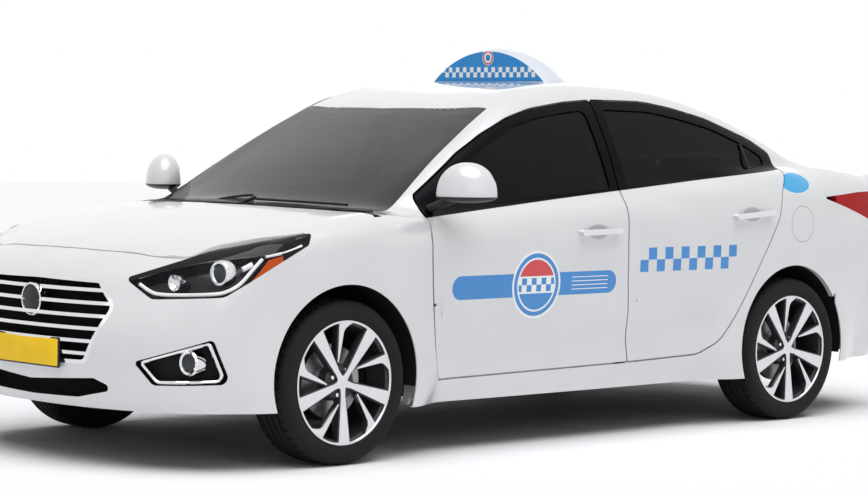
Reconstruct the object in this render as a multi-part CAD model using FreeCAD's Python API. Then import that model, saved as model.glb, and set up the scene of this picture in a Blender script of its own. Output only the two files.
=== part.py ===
import FreeCAD, Part
import math
import os
from functools import lru_cache
from FreeCAD import Vector

# Driving sizes in millimetres. The front of the car is at -X, its left side at -Y and the ground at Z = 0.
LENGTH = 4385.0
WIDTH = 1729.0
ROOF_HEIGHT = 1450.0
WHEELBASE = 2580.0
FRONT_OVERHANG = 830.0
TRACK = 1500.0
TYRE_DIAMETER = 616.0
TYRE_WIDTH = 205.0
RIM_DIAMETER = 466.0
ARCH_RADIUS = 348.0
ARCH_LIFT = 17.0

SHUT_GAP = 7.0
SHEET = 5.0
DOOR_BAND = 12.0
DOOR_DEPTH = 92.0
FRAME_DEPTH = 34.0
JAMB_START = 19.0
JAMB_END = 92.0
POST_START = 80.0
POST_END = 116.0
GLASS = 5.0
GLASS_DEPTH = 7.0
OVERRUN = 30.0
RUNNING_GAP = 0.05

HALF_LENGTH = LENGTH / 2
HALF_WIDTH = WIDTH / 2
X_FRONT_AXLE = FRONT_OVERHANG - HALF_LENGTH
X_REAR_AXLE = X_FRONT_AXLE + WHEELBASE
WHEEL_RADIUS = TYRE_DIAMETER / 2
WHEEL_Y = TRACK / 2
ARCH_Z = WHEEL_RADIUS + ARCH_LIFT

Y_AXIS = Vector(0, 1, 0)


# Smooth functions

def guide(points):
    """Natural cubic spline through (place, value) points, straight beyond its ends."""
    xs = [p[0] for p in points]
    ys = [p[1] for p in points]
    n = len(xs)
    h = [xs[i + 1] - xs[i] for i in range(n - 1)]
    right = [0.0] * n
    lower, diag, upper = [0.0] * n, [1.0] * n, [0.0] * n
    for i in range(1, n - 1):
        lower[i], diag[i], upper[i] = h[i - 1], 2 * (h[i - 1] + h[i]), h[i]
        right[i] = 3 * ((ys[i + 1] - ys[i]) / h[i] - (ys[i] - ys[i - 1]) / h[i - 1])
    for i in range(1, n):
        m = lower[i] / diag[i - 1]
        diag[i] -= m * upper[i - 1]
        right[i] -= m * right[i - 1]
    c = [0.0] * n
    c[-1] = right[-1] / diag[-1]
    for i in range(n - 2, -1, -1):
        c[i] = (right[i] - upper[i] * c[i + 1]) / diag[i]
    b = [(ys[i + 1] - ys[i]) / h[i] - h[i] * (2 * c[i] + c[i + 1]) / 3 for i in range(n - 1)]
    d = [(c[i + 1] - c[i]) / (3 * h[i]) for i in range(n - 1)]
    end_slope = b[-1] + 2 * c[-2] * h[-1] + 3 * d[-1] * h[-1] ** 2

    def value(x):
        if x <= xs[0]:
            return ys[0] + b[0] * (x - xs[0])
        if x >= xs[-1]:
            return ys[-1] + end_slope * (x - xs[-1])
        i = 0
        while x > xs[i + 1]:
            i += 1
        t = x - xs[i]
        return ys[i] + t * (b[i] + t * (c[i] + t * d[i]))

    return value


def share_guide(points, across, up):
    return guide([(p[0] * across, p[1] * up) for p in points])


def soft_max(a, b, reach):
    h = max(reach - abs(a - b), 0.0) / reach
    return max(a, b) + h * h * h * reach / 6


def soft_min(a, b, reach):
    return -soft_max(-a, -b, reach)


def ramp(x, low, high):
    t = min(1.0, max(0.0, (x - low) / (high - low)))
    return t * t * t * (t * (6 * t - 15) + 10)


def soft_plus(x, reach):
    if x > reach:
        return x
    if x < -reach:
        return 0.0
    t = (x + reach) / (2 * reach)
    return 2 * reach * (t * t * t - t * t * t * t / 2)


def crossing(value, inside, outside):
    """Place between inside (negative) and outside (positive) where value is zero."""
    a, b = inside, outside
    fa, fb = value(a), value(b)
    last = 0
    m = b
    for _ in range(30):
        m = (a * fb - b * fa) / (fb - fa)
        fm = value(m)
        if abs(b - a) < ROOT_STEP or abs(fm) < ROOT_STEP:
            break
        if (fm > 0) == (fb > 0):
            b, fb = m, fm
            if last == 1:
                fa /= 2
            last = 1
        else:
            a, fa = m, fm
            if last == 2:
                fb /= 2
            last = 2
    return m


ROOT_STEP = LENGTH * 1e-6

# Body form. Places are shares of half the length or the roof height, values shares of half the width,
# half the length or the roof height.
PLAN_SHARES = [(-1.0, 0.905), (-0.9, 0.952), (-0.8, 0.981), (-0.62, 0.999), (-0.4, 0.994), (0.0, 0.996),
               (0.35, 1.0), (0.56, 0.999), (0.72, 0.975), (0.85, 0.925), (1.0, 0.835)]
HOOD_SHARES = [(-1.02, 0.497), (-0.94, 0.540), (-0.86, 0.578), (-0.76, 0.613), (-0.66, 0.638), (-0.56, 0.655),
               (-0.48, 0.666), (-0.40, 0.674)]
BELT_SHARES = [(-0.50, 0.634), (-0.41, 0.641), (-0.18, 0.668), (0.08, 0.700), (0.31, 0.732), (0.50, 0.757),
               (0.62, 0.768)]
DECK_SHARES = [(0.60, 0.757), (0.70, 0.756), (0.80, 0.752), (0.90, 0.745), (0.98, 0.737)]
ROOF_SHARES = [(-0.56, 0.640), (-0.515, 0.666), (-0.40, 0.757), (-0.30, 0.836), (-0.20, 0.912), (-0.12, 0.961),
               (-0.02, 0.990), (0.09, 1.0), (0.20, 0.996), (0.33, 0.975), (0.45, 0.934), (0.55, 0.885),
               (0.65, 0.826), (0.74, 0.765), (0.80, 0.722)]
CABIN_SHARES = [(-0.60, 0.855), (-0.47, 0.882), (-0.30, 0.905), (-0.05, 0.916), (0.20, 0.912), (0.45, 0.880),
                (0.60, 0.835), (0.75, 0.775), (0.90, 0.71)]
NOSE_SHARES = [(0.10, -0.952), (0.14, -0.972), (0.18, -0.987), (0.24, -0.9925), (0.31, -1.0), (0.38, -0.9965),
               (0.44, -0.9865), (0.49, -0.972), (0.53, -0.952), (0.57, -0.925)]
TAIL_SHARES = [(0.13, 0.93), (0.20, 0.968), (0.27, 0.992), (0.34, 1.0), (0.42, 0.997), (0.50, 0.978), (0.58, 0.962),
               (0.66, 0.957), (0.72, 0.962), (0.76, 0.962)]
TUCK_SHARES = [(0.09, 0.135), (0.13, 0.100), (0.19, 0.070), (0.25, 0.047), (0.33, 0.024), (0.42, 0.007),
               (0.50, 0.0), (0.58, 0.0), (0.70, 0.012)]
CREASE_SHARES = [(-0.62, 0.540), (-0.45, 0.560), (-0.2, 0.583), (0.05, 0.606), (0.25, 0.625), (0.45, 0.643),
                 (0.70, 0.666)]
DIP_SHARES = [(-0.42, 0.245), (-0.2, 0.255), (0.1, 0.275), (0.35, 0.305)]

half_width_at = share_guide(PLAN_SHARES, HALF_LENGTH, HALF_WIDTH)
hood_at = share_guide(HOOD_SHARES, HALF_LENGTH, ROOF_HEIGHT)
belt_at = share_guide(BELT_SHARES, HALF_LENGTH, ROOF_HEIGHT)
deck_at = share_guide(DECK_SHARES, HALF_LENGTH, ROOF_HEIGHT)
roof_at = share_guide(ROOF_SHARES, HALF_LENGTH, ROOF_HEIGHT)
cabin_width_at = share_guide(CABIN_SHARES, HALF_LENGTH, HALF_WIDTH)
nose_at = share_guide(NOSE_SHARES, ROOF_HEIGHT, HALF_LENGTH)
tail_at = share_guide(TAIL_SHARES, ROOF_HEIGHT, HALF_LENGTH)
tuck_at = share_guide(TUCK_SHARES, ROOF_HEIGHT, HALF_WIDTH)
crease_at = share_guide(CREASE_SHARES, HALF_LENGTH, ROOF_HEIGHT)
dip_at = share_guide(DIP_SHARES, HALF_LENGTH, ROOF_HEIGHT)

FLARE_REACH = 230.0
CREASE_SOFT = 20.0
CREASE_SLOPE_SHARE = 0.17
DIP_DEPTH = 15.0
DIP_SPREAD = 70.0
SHOULDER_SOFT = 150.0
NOSE_SOFT = 150.0
TAIL_SOFT = 120.0
RAIL_SOFT = 120.0
BELT_SOFT = 24.0
DECK_SOFT = 260.0
HOOD_CROWN = 34.0
HOOD_SWEEP = 60.0
DECK_CROWN = 26.0
ROOF_CROWN = 30.0
CABIN_LEAN_SHARE = 0.36
CABIN_CURVE_SHARE = 0.61
SCREEN_SWEEP_SHARE = 0.16
NOSE_SWEEP_SHARE = 0.135
TAIL_SWEEP_SHARE = 0.085
FADE_SHARES = {"dip front": (-0.46, -0.33), "dip rear": (0.27, 0.40), "crease": (-0.62, -0.44),
               "hood to belt": (-0.52, -0.40), "belt to deck": (0.50, 0.68), "deck blend": (0.52, 0.78),
               "cabin ends": (-0.60, 0.82)}


def fade(x, name):
    low, high = FADE_SHARES[name]
    return ramp(x, low * HALF_LENGTH, high * HALF_LENGTH)


def side_width(x, z):
    """Half width of the lower body, with its crease, lower dip and swollen arches."""
    near = min(math.hypot(x - X_FRONT_AXLE, z - ARCH_Z), math.hypot(x - X_REAR_AXLE, z - ARCH_Z))
    inset = tuck_at(z) * ramp(near, ARCH_RADIUS, ARCH_RADIUS + FLARE_REACH)
    dip = DIP_DEPTH * math.exp(-(((z - dip_at(x)) / DIP_SPREAD) ** 2))
    dip *= fade(x, "dip front") * (1 - fade(x, "dip rear"))
    crease = CREASE_SLOPE_SHARE * soft_plus(z - crease_at(x), CREASE_SOFT) * fade(x, "crease")
    return half_width_at(x) - inset - dip - crease


def lower_top(x, side_share):
    """Height of the hood, the belt or the boot deck."""
    hood = hood_at(x - HOOD_SWEEP * side_share ** 2) - HOOD_CROWN * side_share ** 2
    z = hood + (belt_at(x) - hood) * fade(x, "hood to belt")
    deck = deck_at(x) - DECK_CROWN * side_share ** 2
    return z + (deck - z) * fade(x, "belt to deck")


def lower_field(x, y, z):
    side_share = abs(y) / HALF_WIDTH
    f = soft_max(abs(y) - side_width(x, z), z - lower_top(x, side_share), SHOULDER_SOFT)
    front = nose_at(z) + NOSE_SWEEP_SHARE * HALF_LENGTH * side_share ** 2.4 - x
    f = soft_max(f, front, NOSE_SOFT)
    rear = x - tail_at(z) + TAIL_SWEEP_SHARE * HALF_LENGTH * side_share ** 2.6
    return soft_max(f, rear, TAIL_SOFT)


def upper_field(x, y, z):
    side_share = abs(y) / HALF_WIDTH
    rise = soft_plus(z - belt_at(x), BELT_SOFT)
    half = cabin_width_at(x) - CABIN_LEAN_SHARE * rise - CABIN_CURVE_SHARE * rise * rise / ROOF_HEIGHT
    along = x * (1 + SCREEN_SWEEP_SHARE * side_share ** 2)
    top = z - roof_at(along) + ROOF_CROWN * side_share ** 2
    f = soft_max(abs(y) - half, top, RAIL_SOFT)
    first, last = FADE_SHARES["cabin ends"]
    return max(f, first * HALF_LENGTH - x, x - last * HALF_LENGTH)


def body_field(x, y, z):
    """Negative inside the body, zero on its skin."""
    reach = BELT_SOFT + DECK_SOFT * fade(x, "deck blend")
    return soft_min(lower_field(x, y, z), upper_field(x, y, z), reach)


# Ways of walking over the skin, each with a depth below it

SECTION_Y_SHARE = 0.40
SECTION_Z_SHARE = 0.41
NOSE_PIVOT_SHARE = -0.66
TAIL_PIVOT_SHARE = 0.68
TAIL_PIVOT_Z_SHARE = 0.50
FAR = WIDTH * 0.75


def section_point(x, angle, depth):
    """Left side, around the car's length: angle 0 looks outward, 90 upward."""
    y0 = SECTION_Y_SHARE * HALF_WIDTH
    z0 = SECTION_Z_SHARE * ROOF_HEIGHT
    c, s = math.cos(math.radians(angle)), math.sin(math.radians(angle))
    r = crossing(lambda t: body_field(x, y0 + t * c, z0 + t * s), 0.0, FAR) - depth
    return Vector(x, -(y0 + r * c), z0 + r * s)


def nose_point(angle, z, depth):
    """Around the nose on an upright axis: angle 0 looks forward, 90 to the left."""
    x0 = NOSE_PIVOT_SHARE * HALF_LENGTH
    c, s = math.cos(math.radians(angle)), math.sin(math.radians(angle))
    r = crossing(lambda t: body_field(x0 - t * c, t * s, z), 0.0, FAR) - depth
    return Vector(x0 - r * c, -r * s, z)


def tail_point(angle, z, depth):
    """Around the tail on an upright axis: angle 0 looks rearward, 90 to the left."""
    x0 = TAIL_PIVOT_SHARE * HALF_LENGTH
    c, s = math.cos(math.radians(angle)), math.sin(math.radians(angle))
    r = crossing(lambda t: body_field(x0 + t * c, t * s, z), 0.0, FAR) - depth
    return Vector(x0 + r * c, -r * s, z)


def top_point(x, y, depth):
    z0 = SECTION_Z_SHARE * ROOF_HEIGHT
    return Vector(x, y, crossing(lambda z: body_field(x, y, z), z0, z0 + FAR) - depth)


def lid_point(angle, y, depth):
    """Over the boot on a crosswise axis: angle 0 looks up, 90 rearward."""
    x0 = TAIL_PIVOT_SHARE * HALF_LENGTH
    z0 = TAIL_PIVOT_Z_SHARE * ROOF_HEIGHT
    c, s = math.cos(math.radians(angle)), math.sin(math.radians(angle))
    r = crossing(lambda t: body_field(x0 + t * s, y, z0 + t * c), 0.0, FAR) - depth
    return Vector(x0 + r * s, y, z0 + r * c)


def steps(first, last, count):
    return [first + (last - first) * i / (count - 1) for i in range(count)]


def curve_through(points, places):
    curve = Part.BSplineCurve()
    curve.interpolate(Points=points, Parameters=places)
    return curve


def skin_surface(point, us, vs, depth):
    """Smooth surface through the skin points of a grid of places, at one depth."""
    rows = [curve_through([point(u, v, depth) for v in vs], vs) for u in us]
    lanes = [curve_through(list(lane), us) for lane in zip(*[row.getPoles() for row in rows])]
    poles = [list(row) for row in zip(*[lane.getPoles() for lane in lanes])]
    first_row, first_lane = rows[0], lanes[0]
    surface = Part.BSplineSurface()
    surface.buildFromPolesMultsKnots(poles, first_lane.getMultiplicities(), first_row.getMultiplicities(),
                                     first_lane.getKnots(), first_row.getKnots(), False, False, 3, 3)
    return surface


def skin_slab(point, us, vs, outer, inner):
    """Solid between two depths below the skin over a grid of places."""
    near = skin_surface(point, us, vs, outer)
    far = skin_surface(point, us, vs, inner)
    rims = [(near.uIso(us[0]), far.uIso(us[0])), (near.uIso(us[-1]), far.uIso(us[-1])),
            (near.vIso(vs[0]), far.vIso(vs[0])), (near.vIso(vs[-1]), far.vIso(vs[-1]))]
    faces = [near.toShape(), far.toShape()]
    faces += [Part.makeRuledSurface(a.toShape(), b.toShape()) for a, b in rims]
    shell = Part.makeShell(faces)
    shell.sewShape()
    solid = Part.makeSolid(shell)
    if solid.Volume < 0:
        solid.reverse()
    return solid


# Outlines

def rounded_wire(corners, place):
    """Closed wire through corners (u, v, radius), set in space by place(u, v)."""
    edges = []
    n = len(corners)
    cuts = []
    for i in range(n):
        (ua, va, _), (u, v, r), (ub, vb, _) = corners[i - 1], corners[i], corners[(i + 1) % n]
        la, lb = math.hypot(ua - u, va - v), math.hypot(ub - u, vb - v)
        ax, ay, bx, by = (ua - u) / la, (va - v) / la, (ub - u) / lb, (vb - v) / lb
        half = math.acos(max(-1.0, min(1.0, ax * bx + ay * by))) / 2
        reach = min(r / math.tan(half), 0.48 * la, 0.48 * lb) if math.tan(half) else 0
        r = reach * math.tan(half)
        if r <= ROOT_STEP or half > math.radians(89.7):
            cuts.append([place(u, v)])
            continue
        mx, my = ax + bx, ay + by
        ml = math.hypot(mx, my)
        far = r / math.sin(half) - r
        cuts.append([place(u + ax * reach, v + ay * reach), place(u + mx / ml * far, v + my / ml * far),
                     place(u + bx * reach, v + by * reach)])
    for i in range(n):
        if len(cuts[i]) == 3:
            edges.append(Part.Arc(*cuts[i]).toShape())
        if (cuts[i][-1] - cuts[(i + 1) % n][0]).Length > ROOT_STEP:
            edges.append(Part.makeLine(cuts[i][-1], cuts[(i + 1) % n][0]))
    return Part.Wire(edges)


def side_prism(corners, y0, y1, inset=0.0):
    """Prism across the car over an outline of (x, z, radius)."""
    face = Part.Face(rounded_wire(corners, lambda x, z: Vector(x, y0, z)))
    if inset:
        face = face.makeOffset2D(-inset)
    return face.extrude(Vector(0, y1 - y0, 0))


def plan_prism(corners, z0, z1, inset=0.0):
    """Upright prism over a plan outline of (x, y, radius)."""
    face = Part.Face(rounded_wire(corners, lambda x, y: Vector(x, y, z0)))
    if inset:
        face = face.makeOffset2D(-inset)
    return face.extrude(Vector(0, 0, z1 - z0))


def front_prism(corners, x0, x1, inset=0.0):
    """Prism along the car over an outline of (y, z, radius)."""
    face = Part.Face(rounded_wire(corners, lambda y, z: Vector(x0, y, z)))
    if inset:
        face = face.makeOffset2D(-inset)
    return face.extrude(Vector(x1 - x0, 0, 0))


def scaled(shares, across, up):
    """Corners in millimetres from shares (place, place, radius); radii follow the height."""
    return [(u * across, v * up, r * ROOF_HEIGHT) for u, v, r in shares]


def both_sides(corners):
    """A whole plan outline from its left half, whose first and last points are on the centre plane."""
    return corners + [(u, -v, r) for u, v, r in reversed(corners[1:-1])]


def box(x0, x1, y0, y1, z0, z1):
    return Part.makeBox(x1 - x0, y1 - y0, z1 - z0, Vector(x0, y0, z0))


def mirrored(shape):
    return shape.mirror(Vector(0, 0, 0), Y_AXIS)


def carved(shape, tools):
    """Shape less each tool in turn."""
    for tool in tools:
        shape = shape.cut(tool)
    return shape


def largest(shape):
    return max(shape.Solids, key=lambda solid: solid.Volume)


def fused(shapes):
    """All the shapes joined, one after another."""
    whole = shapes[0]
    for shape in shapes[1:]:
        whole = whole.fuse(shape)
    return whole.removeSplitter()


def rod(start, end, radius):
    return Part.makeCylinder(radius, (end - start).Length, start, end - start)


# Shut lines and openings, as shares (x of half length, z of roof height, corner radius of roof height)
FRONT_DOOR_SHARES = [
    (-0.391, 0.198, 0.014), (-0.412, 0.293, 0.2), (-0.425, 0.446, 0.3), (-0.429, 0.541, 0.2),
    (-0.428, 0.592, 0.1), (-0.420, 0.627, 0.03), (-0.420, 0.680, 0.03), (-0.362, 0.733, 0.4),
    (-0.291, 0.797, 0.4), (-0.222, 0.849, 0.4), (-0.148, 0.894, 0.4), (-0.083, 0.920, 0.4),
    (0.008, 0.939, 0.4), (0.0785, 0.947, 0.012), (0.0725, 0.686, 0.1), (0.0695, 0.551, 0.3),
    (0.0710, 0.444, 0.3), (0.0820, 0.319, 0.3), (0.0985, 0.207, 0.008)]
REAR_DOOR_SHARES = [
    (0.0985, 0.207, 0.008), (0.0820, 0.319, 0.3), (0.0710, 0.444, 0.3), (0.0695, 0.551, 0.3),
    (0.0725, 0.686, 0.1), (0.0785, 0.947, 0.012), (0.218, 0.945, 0.5), (0.290, 0.928, 0.4),
    (0.379, 0.898, 0.4), (0.493, 0.838, 0.3), (0.549, 0.795, 0.03), (0.549, 0.752, 0.05),
    (0.518, 0.676, 0.06), (0.507, 0.610, 0.1), (0.472, 0.525, 0.2), (0.422, 0.414, 0.2),
    (0.381, 0.328, 0.2), (0.340, 0.248, 0.1), (0.297, 0.215, 0.1)]
FRONT_WINDOW_SHARES = [
    (-0.399, 0.640, 0.01), (-0.181, 0.673, 0.9), (0.052, 0.699, 0.012), (0.052, 0.917, 0.018),
    (0.008, 0.912, 0.3), (-0.083, 0.893, 0.4), (-0.148, 0.867, 0.4), (-0.222, 0.821, 0.4),
    (-0.291, 0.769, 0.4), (-0.357, 0.711, 0.3)]
REAR_WINDOW_SHARES = [
    (0.098, 0.706, 0.012), (0.314, 0.736, 0.9), (0.470, 0.752, 0.1), (0.519, 0.763, 0.02),
    (0.519, 0.786, 0.02), (0.482, 0.814, 0.1), (0.423, 0.848, 0.3), (0.379, 0.871, 0.3),
    (0.290, 0.900, 0.3), (0.218, 0.917, 0.3), (0.098, 0.921, 0.018)]
FENDER_SHARES = [
    (-0.800, 0.440, 0.01), (-0.822, 0.460, 0.01), (-0.808, 0.480, 0.02), (-0.730, 0.525, 0.1),
    (-0.706, 0.567, 0.01), (-0.690, 0.640, 0.01), (-0.519, 0.700, 0.01), (-0.519, 0.637, 0.01),
    (-0.475, 0.634, 0.01), (-0.420, 0.627, 0.01), (-0.428, 0.592, 0.1), (-0.429, 0.541, 0.2),
    (-0.425, 0.446, 0.3), (-0.412, 0.293, 0.2), (-0.391, 0.198, 0.014), (-0.430, 0.140, 0.01),
    (-0.52, 0.140, 0.01)]

# Plan outlines, left half, as shares (x of half length, y of half width, radius of roof height)
HOOD_PLAN_SHARES = [
    (-0.920, 0.0, 0.0), (-0.918, -0.24, 0.8), (-0.900, -0.58, 0.3), (-0.880, -0.715, 0.08),
    (-0.846, -0.768, 0.2), (-0.770, -0.870, 0.3), (-0.688, -0.940, 0.3), (-0.609, -0.932, 0.5),
    (-0.519, -0.905, 0.03), (-0.535, -0.800, 0.1), (-0.575, -0.40, 0.8), (-0.585, 0.0, 0.0)]
SCREEN_PLAN_SHARES = [
    (-0.560, 0.0, 0.0), (-0.550, -0.40, 0.8), (-0.505, -0.800, 0.08), (-0.480, -0.820, 0.02),
    (-0.322, -0.717, 0.4), (-0.223, -0.665, 0.4), (-0.163, -0.636, 0.01), (-0.185, -0.40, 0.8),
    (-0.195, 0.0, 0.0)]
ROOF_PLAN_SHARES = [
    (-0.195, 0.0, 0.0), (-0.185, -0.40, 0.8), (-0.163, -0.636, 0.01), (0.0, -0.630, 0.4),
    (0.25, -0.632, 0.4), (0.452, -0.655, 0.01), (0.472, -0.35, 0.8), (0.476, 0.0, 0.0)]
BACK_PLAN_SHARES = [
    (0.476, 0.0, 0.0), (0.472, -0.35, 0.8), (0.452, -0.655, 0.01), (0.60, -0.70, 0.3),
    (0.698, -0.745, 0.05), (0.728, -0.40, 0.8), (0.735, 0.0, 0.0)]
LID_PLAN_SHARES = [
    (0.742, 0.0, 0.0), (0.735, -0.40, 0.8), (0.715, -0.700, 0.03), (0.715, -0.762, 0.03),
    (1.02, -0.762, 0.02), (1.02, 0.0, 0.0)]
LID_LOW_SHARE = 0.425
TAIL_LOW_SHARE = 0.165

HALF_GAP = SHUT_GAP / 2
DEEP = WIDTH * 0.3
DOOR_TRIM_INSET = 84.0
JAMB_INSET = 30.0
DOOR_FRAME_INSET = 36.0
HINGE_PLATE_SHARE = 0.85
JAMB_OUTSET = 16.0


def door_corners(name):
    table = {"front": FRONT_DOOR_SHARES, "rear": REAR_DOOR_SHARES}[name]
    return scaled(table, HALF_LENGTH, ROOF_HEIGHT)


def window_corners(name):
    table = {"front": FRONT_WINDOW_SHARES, "rear": REAR_WINDOW_SHARES}[name]
    return scaled(table, HALF_LENGTH, ROOF_HEIGHT)


def across(corners, inset=0.0):
    """Prism through the left side of the car."""
    return side_prism(corners, -WIDTH, 0.0, inset)


def whole_plan(shares, inset=0.0):
    return plan_prism(both_sides(scaled(shares, HALF_LENGTH, HALF_WIDTH)), 0.0, 2 * ROOF_HEIGHT, inset)


def arch_hole(x, radius=ARCH_RADIUS):
    return rod(Vector(x, -WIDTH, ARCH_Z), Vector(x, WIDTH, ARCH_Z), radius)


STATION = LENGTH / 45
ANGLE_STEP = 5.5
LEAST_ROWS = 4


def side_slab(first_share, last_share, low, high, outer, inner):
    """Slab of the left side between two places along the car and two angles round its section."""
    x0, x1 = first_share * HALF_LENGTH, last_share * HALF_LENGTH
    us = steps(x0, x1, max(LEAST_ROWS, 1 + math.ceil((x1 - x0) / STATION)))
    vs = steps(low, high, max(LEAST_ROWS, 1 + math.ceil((high - low) / ANGLE_STEP)))
    return skin_slab(section_point, us, vs, outer, inner)


OUTSIDE_SHARE = 0.5
SIDE_SPAN_SHARES = (-0.50, 0.93)
SIDE_LOW = -43.0
SIDE_HIGH = 84.0


@lru_cache(maxsize=None)
def side_layer(outer, inner):
    """Layer of the whole left side between two depths under its skin."""
    return side_slab(SIDE_SPAN_SHARES[0], SIDE_SPAN_SHARES[1], SIDE_LOW, SIDE_HIGH, outer, inner)


def outside(depth):
    """What lies outside the side's surface at a depth, to trim what meets it."""
    return side_layer(-HALF_WIDTH * OUTSIDE_SHARE, depth)


TOP_SPAN_SHARES = {"hood": (-0.945, -0.49, 0.965), "windscreen": (-0.585, -0.150, 0.86),
                   "roof": (-0.210, 0.485, 0.68), "rear window": (0.435, 0.745, 0.79),
                   "hood rear": (-0.62, -0.49, 0.965), "lid front": (0.66, 0.80, 0.80),
                   "cowl": (-0.62, -0.44, 0.80)}
TOP_GRIDS = {"hood": (13, 17), "windscreen": (12, 15), "roof": (12, 13), "rear window": (9, 13),
             "hood rear": (5, 17), "lid front": (6, 11), "cowl": (6, 13)}
NOSE_SPAN_SHARES = (0.135, 0.60)
NOSE_REACH = 86.0
NOSE_GRID = (27, 13)
TAIL_REACH = 88.0
TAIL_GRID = (25, 12)
BUMPER_TOP_SHARE = 0.565
TAIL_TOP_SHARE = 0.62
BEYOND_SHARE = 0.3


def top_slab(name, outer, inner):
    """Slab of the upper skin over a named span: hood, windscreen, roof and so on."""
    first_share, last_share, half_share = TOP_SPAN_SHARES[name]
    rows, lanes = TOP_GRIDS[name]
    us = steps(first_share * HALF_LENGTH, last_share * HALF_LENGTH, rows)
    vs = steps(-half_share * HALF_WIDTH, half_share * HALF_WIDTH, lanes)
    return skin_slab(top_point, us, vs, outer, inner)


def nose_slab(outer, inner, low_share=NOSE_SPAN_SHARES[0], high_share=NOSE_SPAN_SHARES[1], reach=NOSE_REACH):
    vs = steps(low_share * ROOF_HEIGHT, high_share * ROOF_HEIGHT, NOSE_GRID[1])
    return skin_slab(nose_point, steps(-reach, reach, NOSE_GRID[0]), vs, outer, inner)


def tail_slab(outer, inner, low_share, high_share):
    vs = steps(low_share * ROOF_HEIGHT, high_share * ROOF_HEIGHT, TAIL_GRID[1])
    return skin_slab(tail_point, steps(-TAIL_REACH, TAIL_REACH, TAIL_GRID[0]), vs, outer, inner)


SLANT_REACH_SHARE = 0.95


def slant_prism(shares, ahead):
    """Prism through a corner of the car on a slant, from shares (x, y, z, radius).

    ahead is -1 for the front left corner and 1 for the rear left one.
    """
    root = math.sqrt(0.5)
    inward = Vector(-ahead * root, root, 0)
    along = Vector(root, ahead * root, 0)
    corners = []
    for x, y, z, r in shares:
        place = Vector(x * HALF_LENGTH, y * HALF_WIDTH, 0)
        corners.append((place.dot(along), z * ROOF_HEIGHT, r * ROOF_HEIGHT))
    start = inward * -LENGTH
    face = Part.Face(rounded_wire(corners, lambda s, z: start + along * s + Vector(0, 0, z)))
    return face.extrude(inward * (LENGTH * SLANT_REACH_SHARE))


# Hinges of the doors

HINGE_PIN = 3.5
HINGE_EYE = 7.0
HINGE_HALF_SHARES = {"front": (0.400, 0.540), "rear": (0.415, 0.560)}
HINGE_X_SHARES = {"front": -0.4005, "rear": 0.1000}
HINGE_INSET = 13.0
HINGE_LEAF = 9.0
HINGE_EYE_HEIGHT = 16.0
HINGE_SIDE_GAP = 0.5
HINGE_SLOT = 44.0
POCKET_AHEAD = 71.0
POCKET_BEHIND = 12.0
HINGE_ARM_SHARE = 0.8
RELIEF_DEPTH = 22.0
RELIEF_MARGIN = 6.0
RELIEF_SHARES = {"front": (0.050, 0.76), "rear": (0.022, 0.96)}


def hinge_x(name):
    return HINGE_X_SHARES[name] * HALF_LENGTH


HINGE_Y = HALF_WIDTH * 0.996 - HINGE_INSET


def hinge_heights(name):
    return [share * ROOF_HEIGHT for share in HINGE_HALF_SHARES[name]]


def door_hinge_leaves(name):
    """Body side of a door's hinges: a leaf on the post with its pin."""
    leaves = []
    x = hinge_x(name)
    for z in hinge_heights(name):
        half = HINGE_LEAF / 2
        leaf = box(x - half, x + half, -HINGE_Y, -HINGE_Y + DOOR_DEPTH * HINGE_PLATE_SHARE, z - half, z + half)
        pin = rod(Vector(x, -HINGE_Y, z - half - HINGE_EYE_HEIGHT), Vector(x, -HINGE_Y, z + half + HINGE_EYE_HEIGHT),
                  HINGE_PIN)
        nose = rod(Vector(x, -HINGE_Y, z - half), Vector(x, -HINGE_Y, z + half), HINGE_EYE)
        leaves += [leaf, pin, nose]
    return leaves


def door_hinge_eyes(name):
    """Door side of the hinges: two eyes at each, with arms back into the door, and their bores."""
    eyes, bores = [], []
    x = hinge_x(name)
    for z in hinge_heights(name):
        half = HINGE_LEAF / 2 + HINGE_SIDE_GAP
        for low, high in ((z - half - HINGE_EYE_HEIGHT, z - half), (z + half, z + half + HINGE_EYE_HEIGHT)):
            eyes.append(rod(Vector(x, -HINGE_Y, low), Vector(x, -HINGE_Y, high), HINGE_EYE))
            eyes.append(box(x, x + DOOR_TRIM_INSET * HINGE_ARM_SHARE, -HINGE_Y, -HINGE_Y + HINGE_EYE, low, high))
        pin = rod(Vector(x, -HINGE_Y, z - half - HINGE_EYE_HEIGHT - OVERRUN),
                  Vector(x, -HINGE_Y, z + half + HINGE_EYE_HEIGHT + OVERRUN), HINGE_PIN + RUNNING_GAP)
        nose = rod(Vector(x, -HINGE_Y, z - half), Vector(x, -HINGE_Y, z + half), HINGE_EYE + HALF_GAP)
        slot = box(x - HINGE_SLOT, x + HINGE_LEAF, -HINGE_Y - HINGE_LEAF / 2, -HINGE_Y + DOOR_DEPTH, z - half,
                   z + half)
        bores.append(fused([nose, slot, pin]))
    return eyes, bores


# Doors

DOOR_SPAN_SHARES = {"front": (-0.45, 0.12), "rear": (0.05, 0.58)}
BELT_DROP = 14.0
DOOR_LOW = -41.0
DOOR_HIGH = 73.0
DOOR_LAP_SHARE = 0.5


def door_zone_slab(name, outer, inner):
    first, last = DOOR_SPAN_SHARES[name]
    return side_slab(first, last, DOOR_LOW, DOOR_HIGH, outer, inner)


def below_belt(drop):
    """Everything of the left side below the belt line, lowered by drop."""
    corners = [(x * HALF_LENGTH, z * ROOF_HEIGHT - drop, 0.0) for x, z in BELT_SHARES]
    last_x, first_x = corners[-1][0], corners[0][0]
    corners += [(last_x, 0.0, 0.0), (first_x, 0.0, 0.0)]
    return side_prism(corners, -WIDTH, 0.0)


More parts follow.
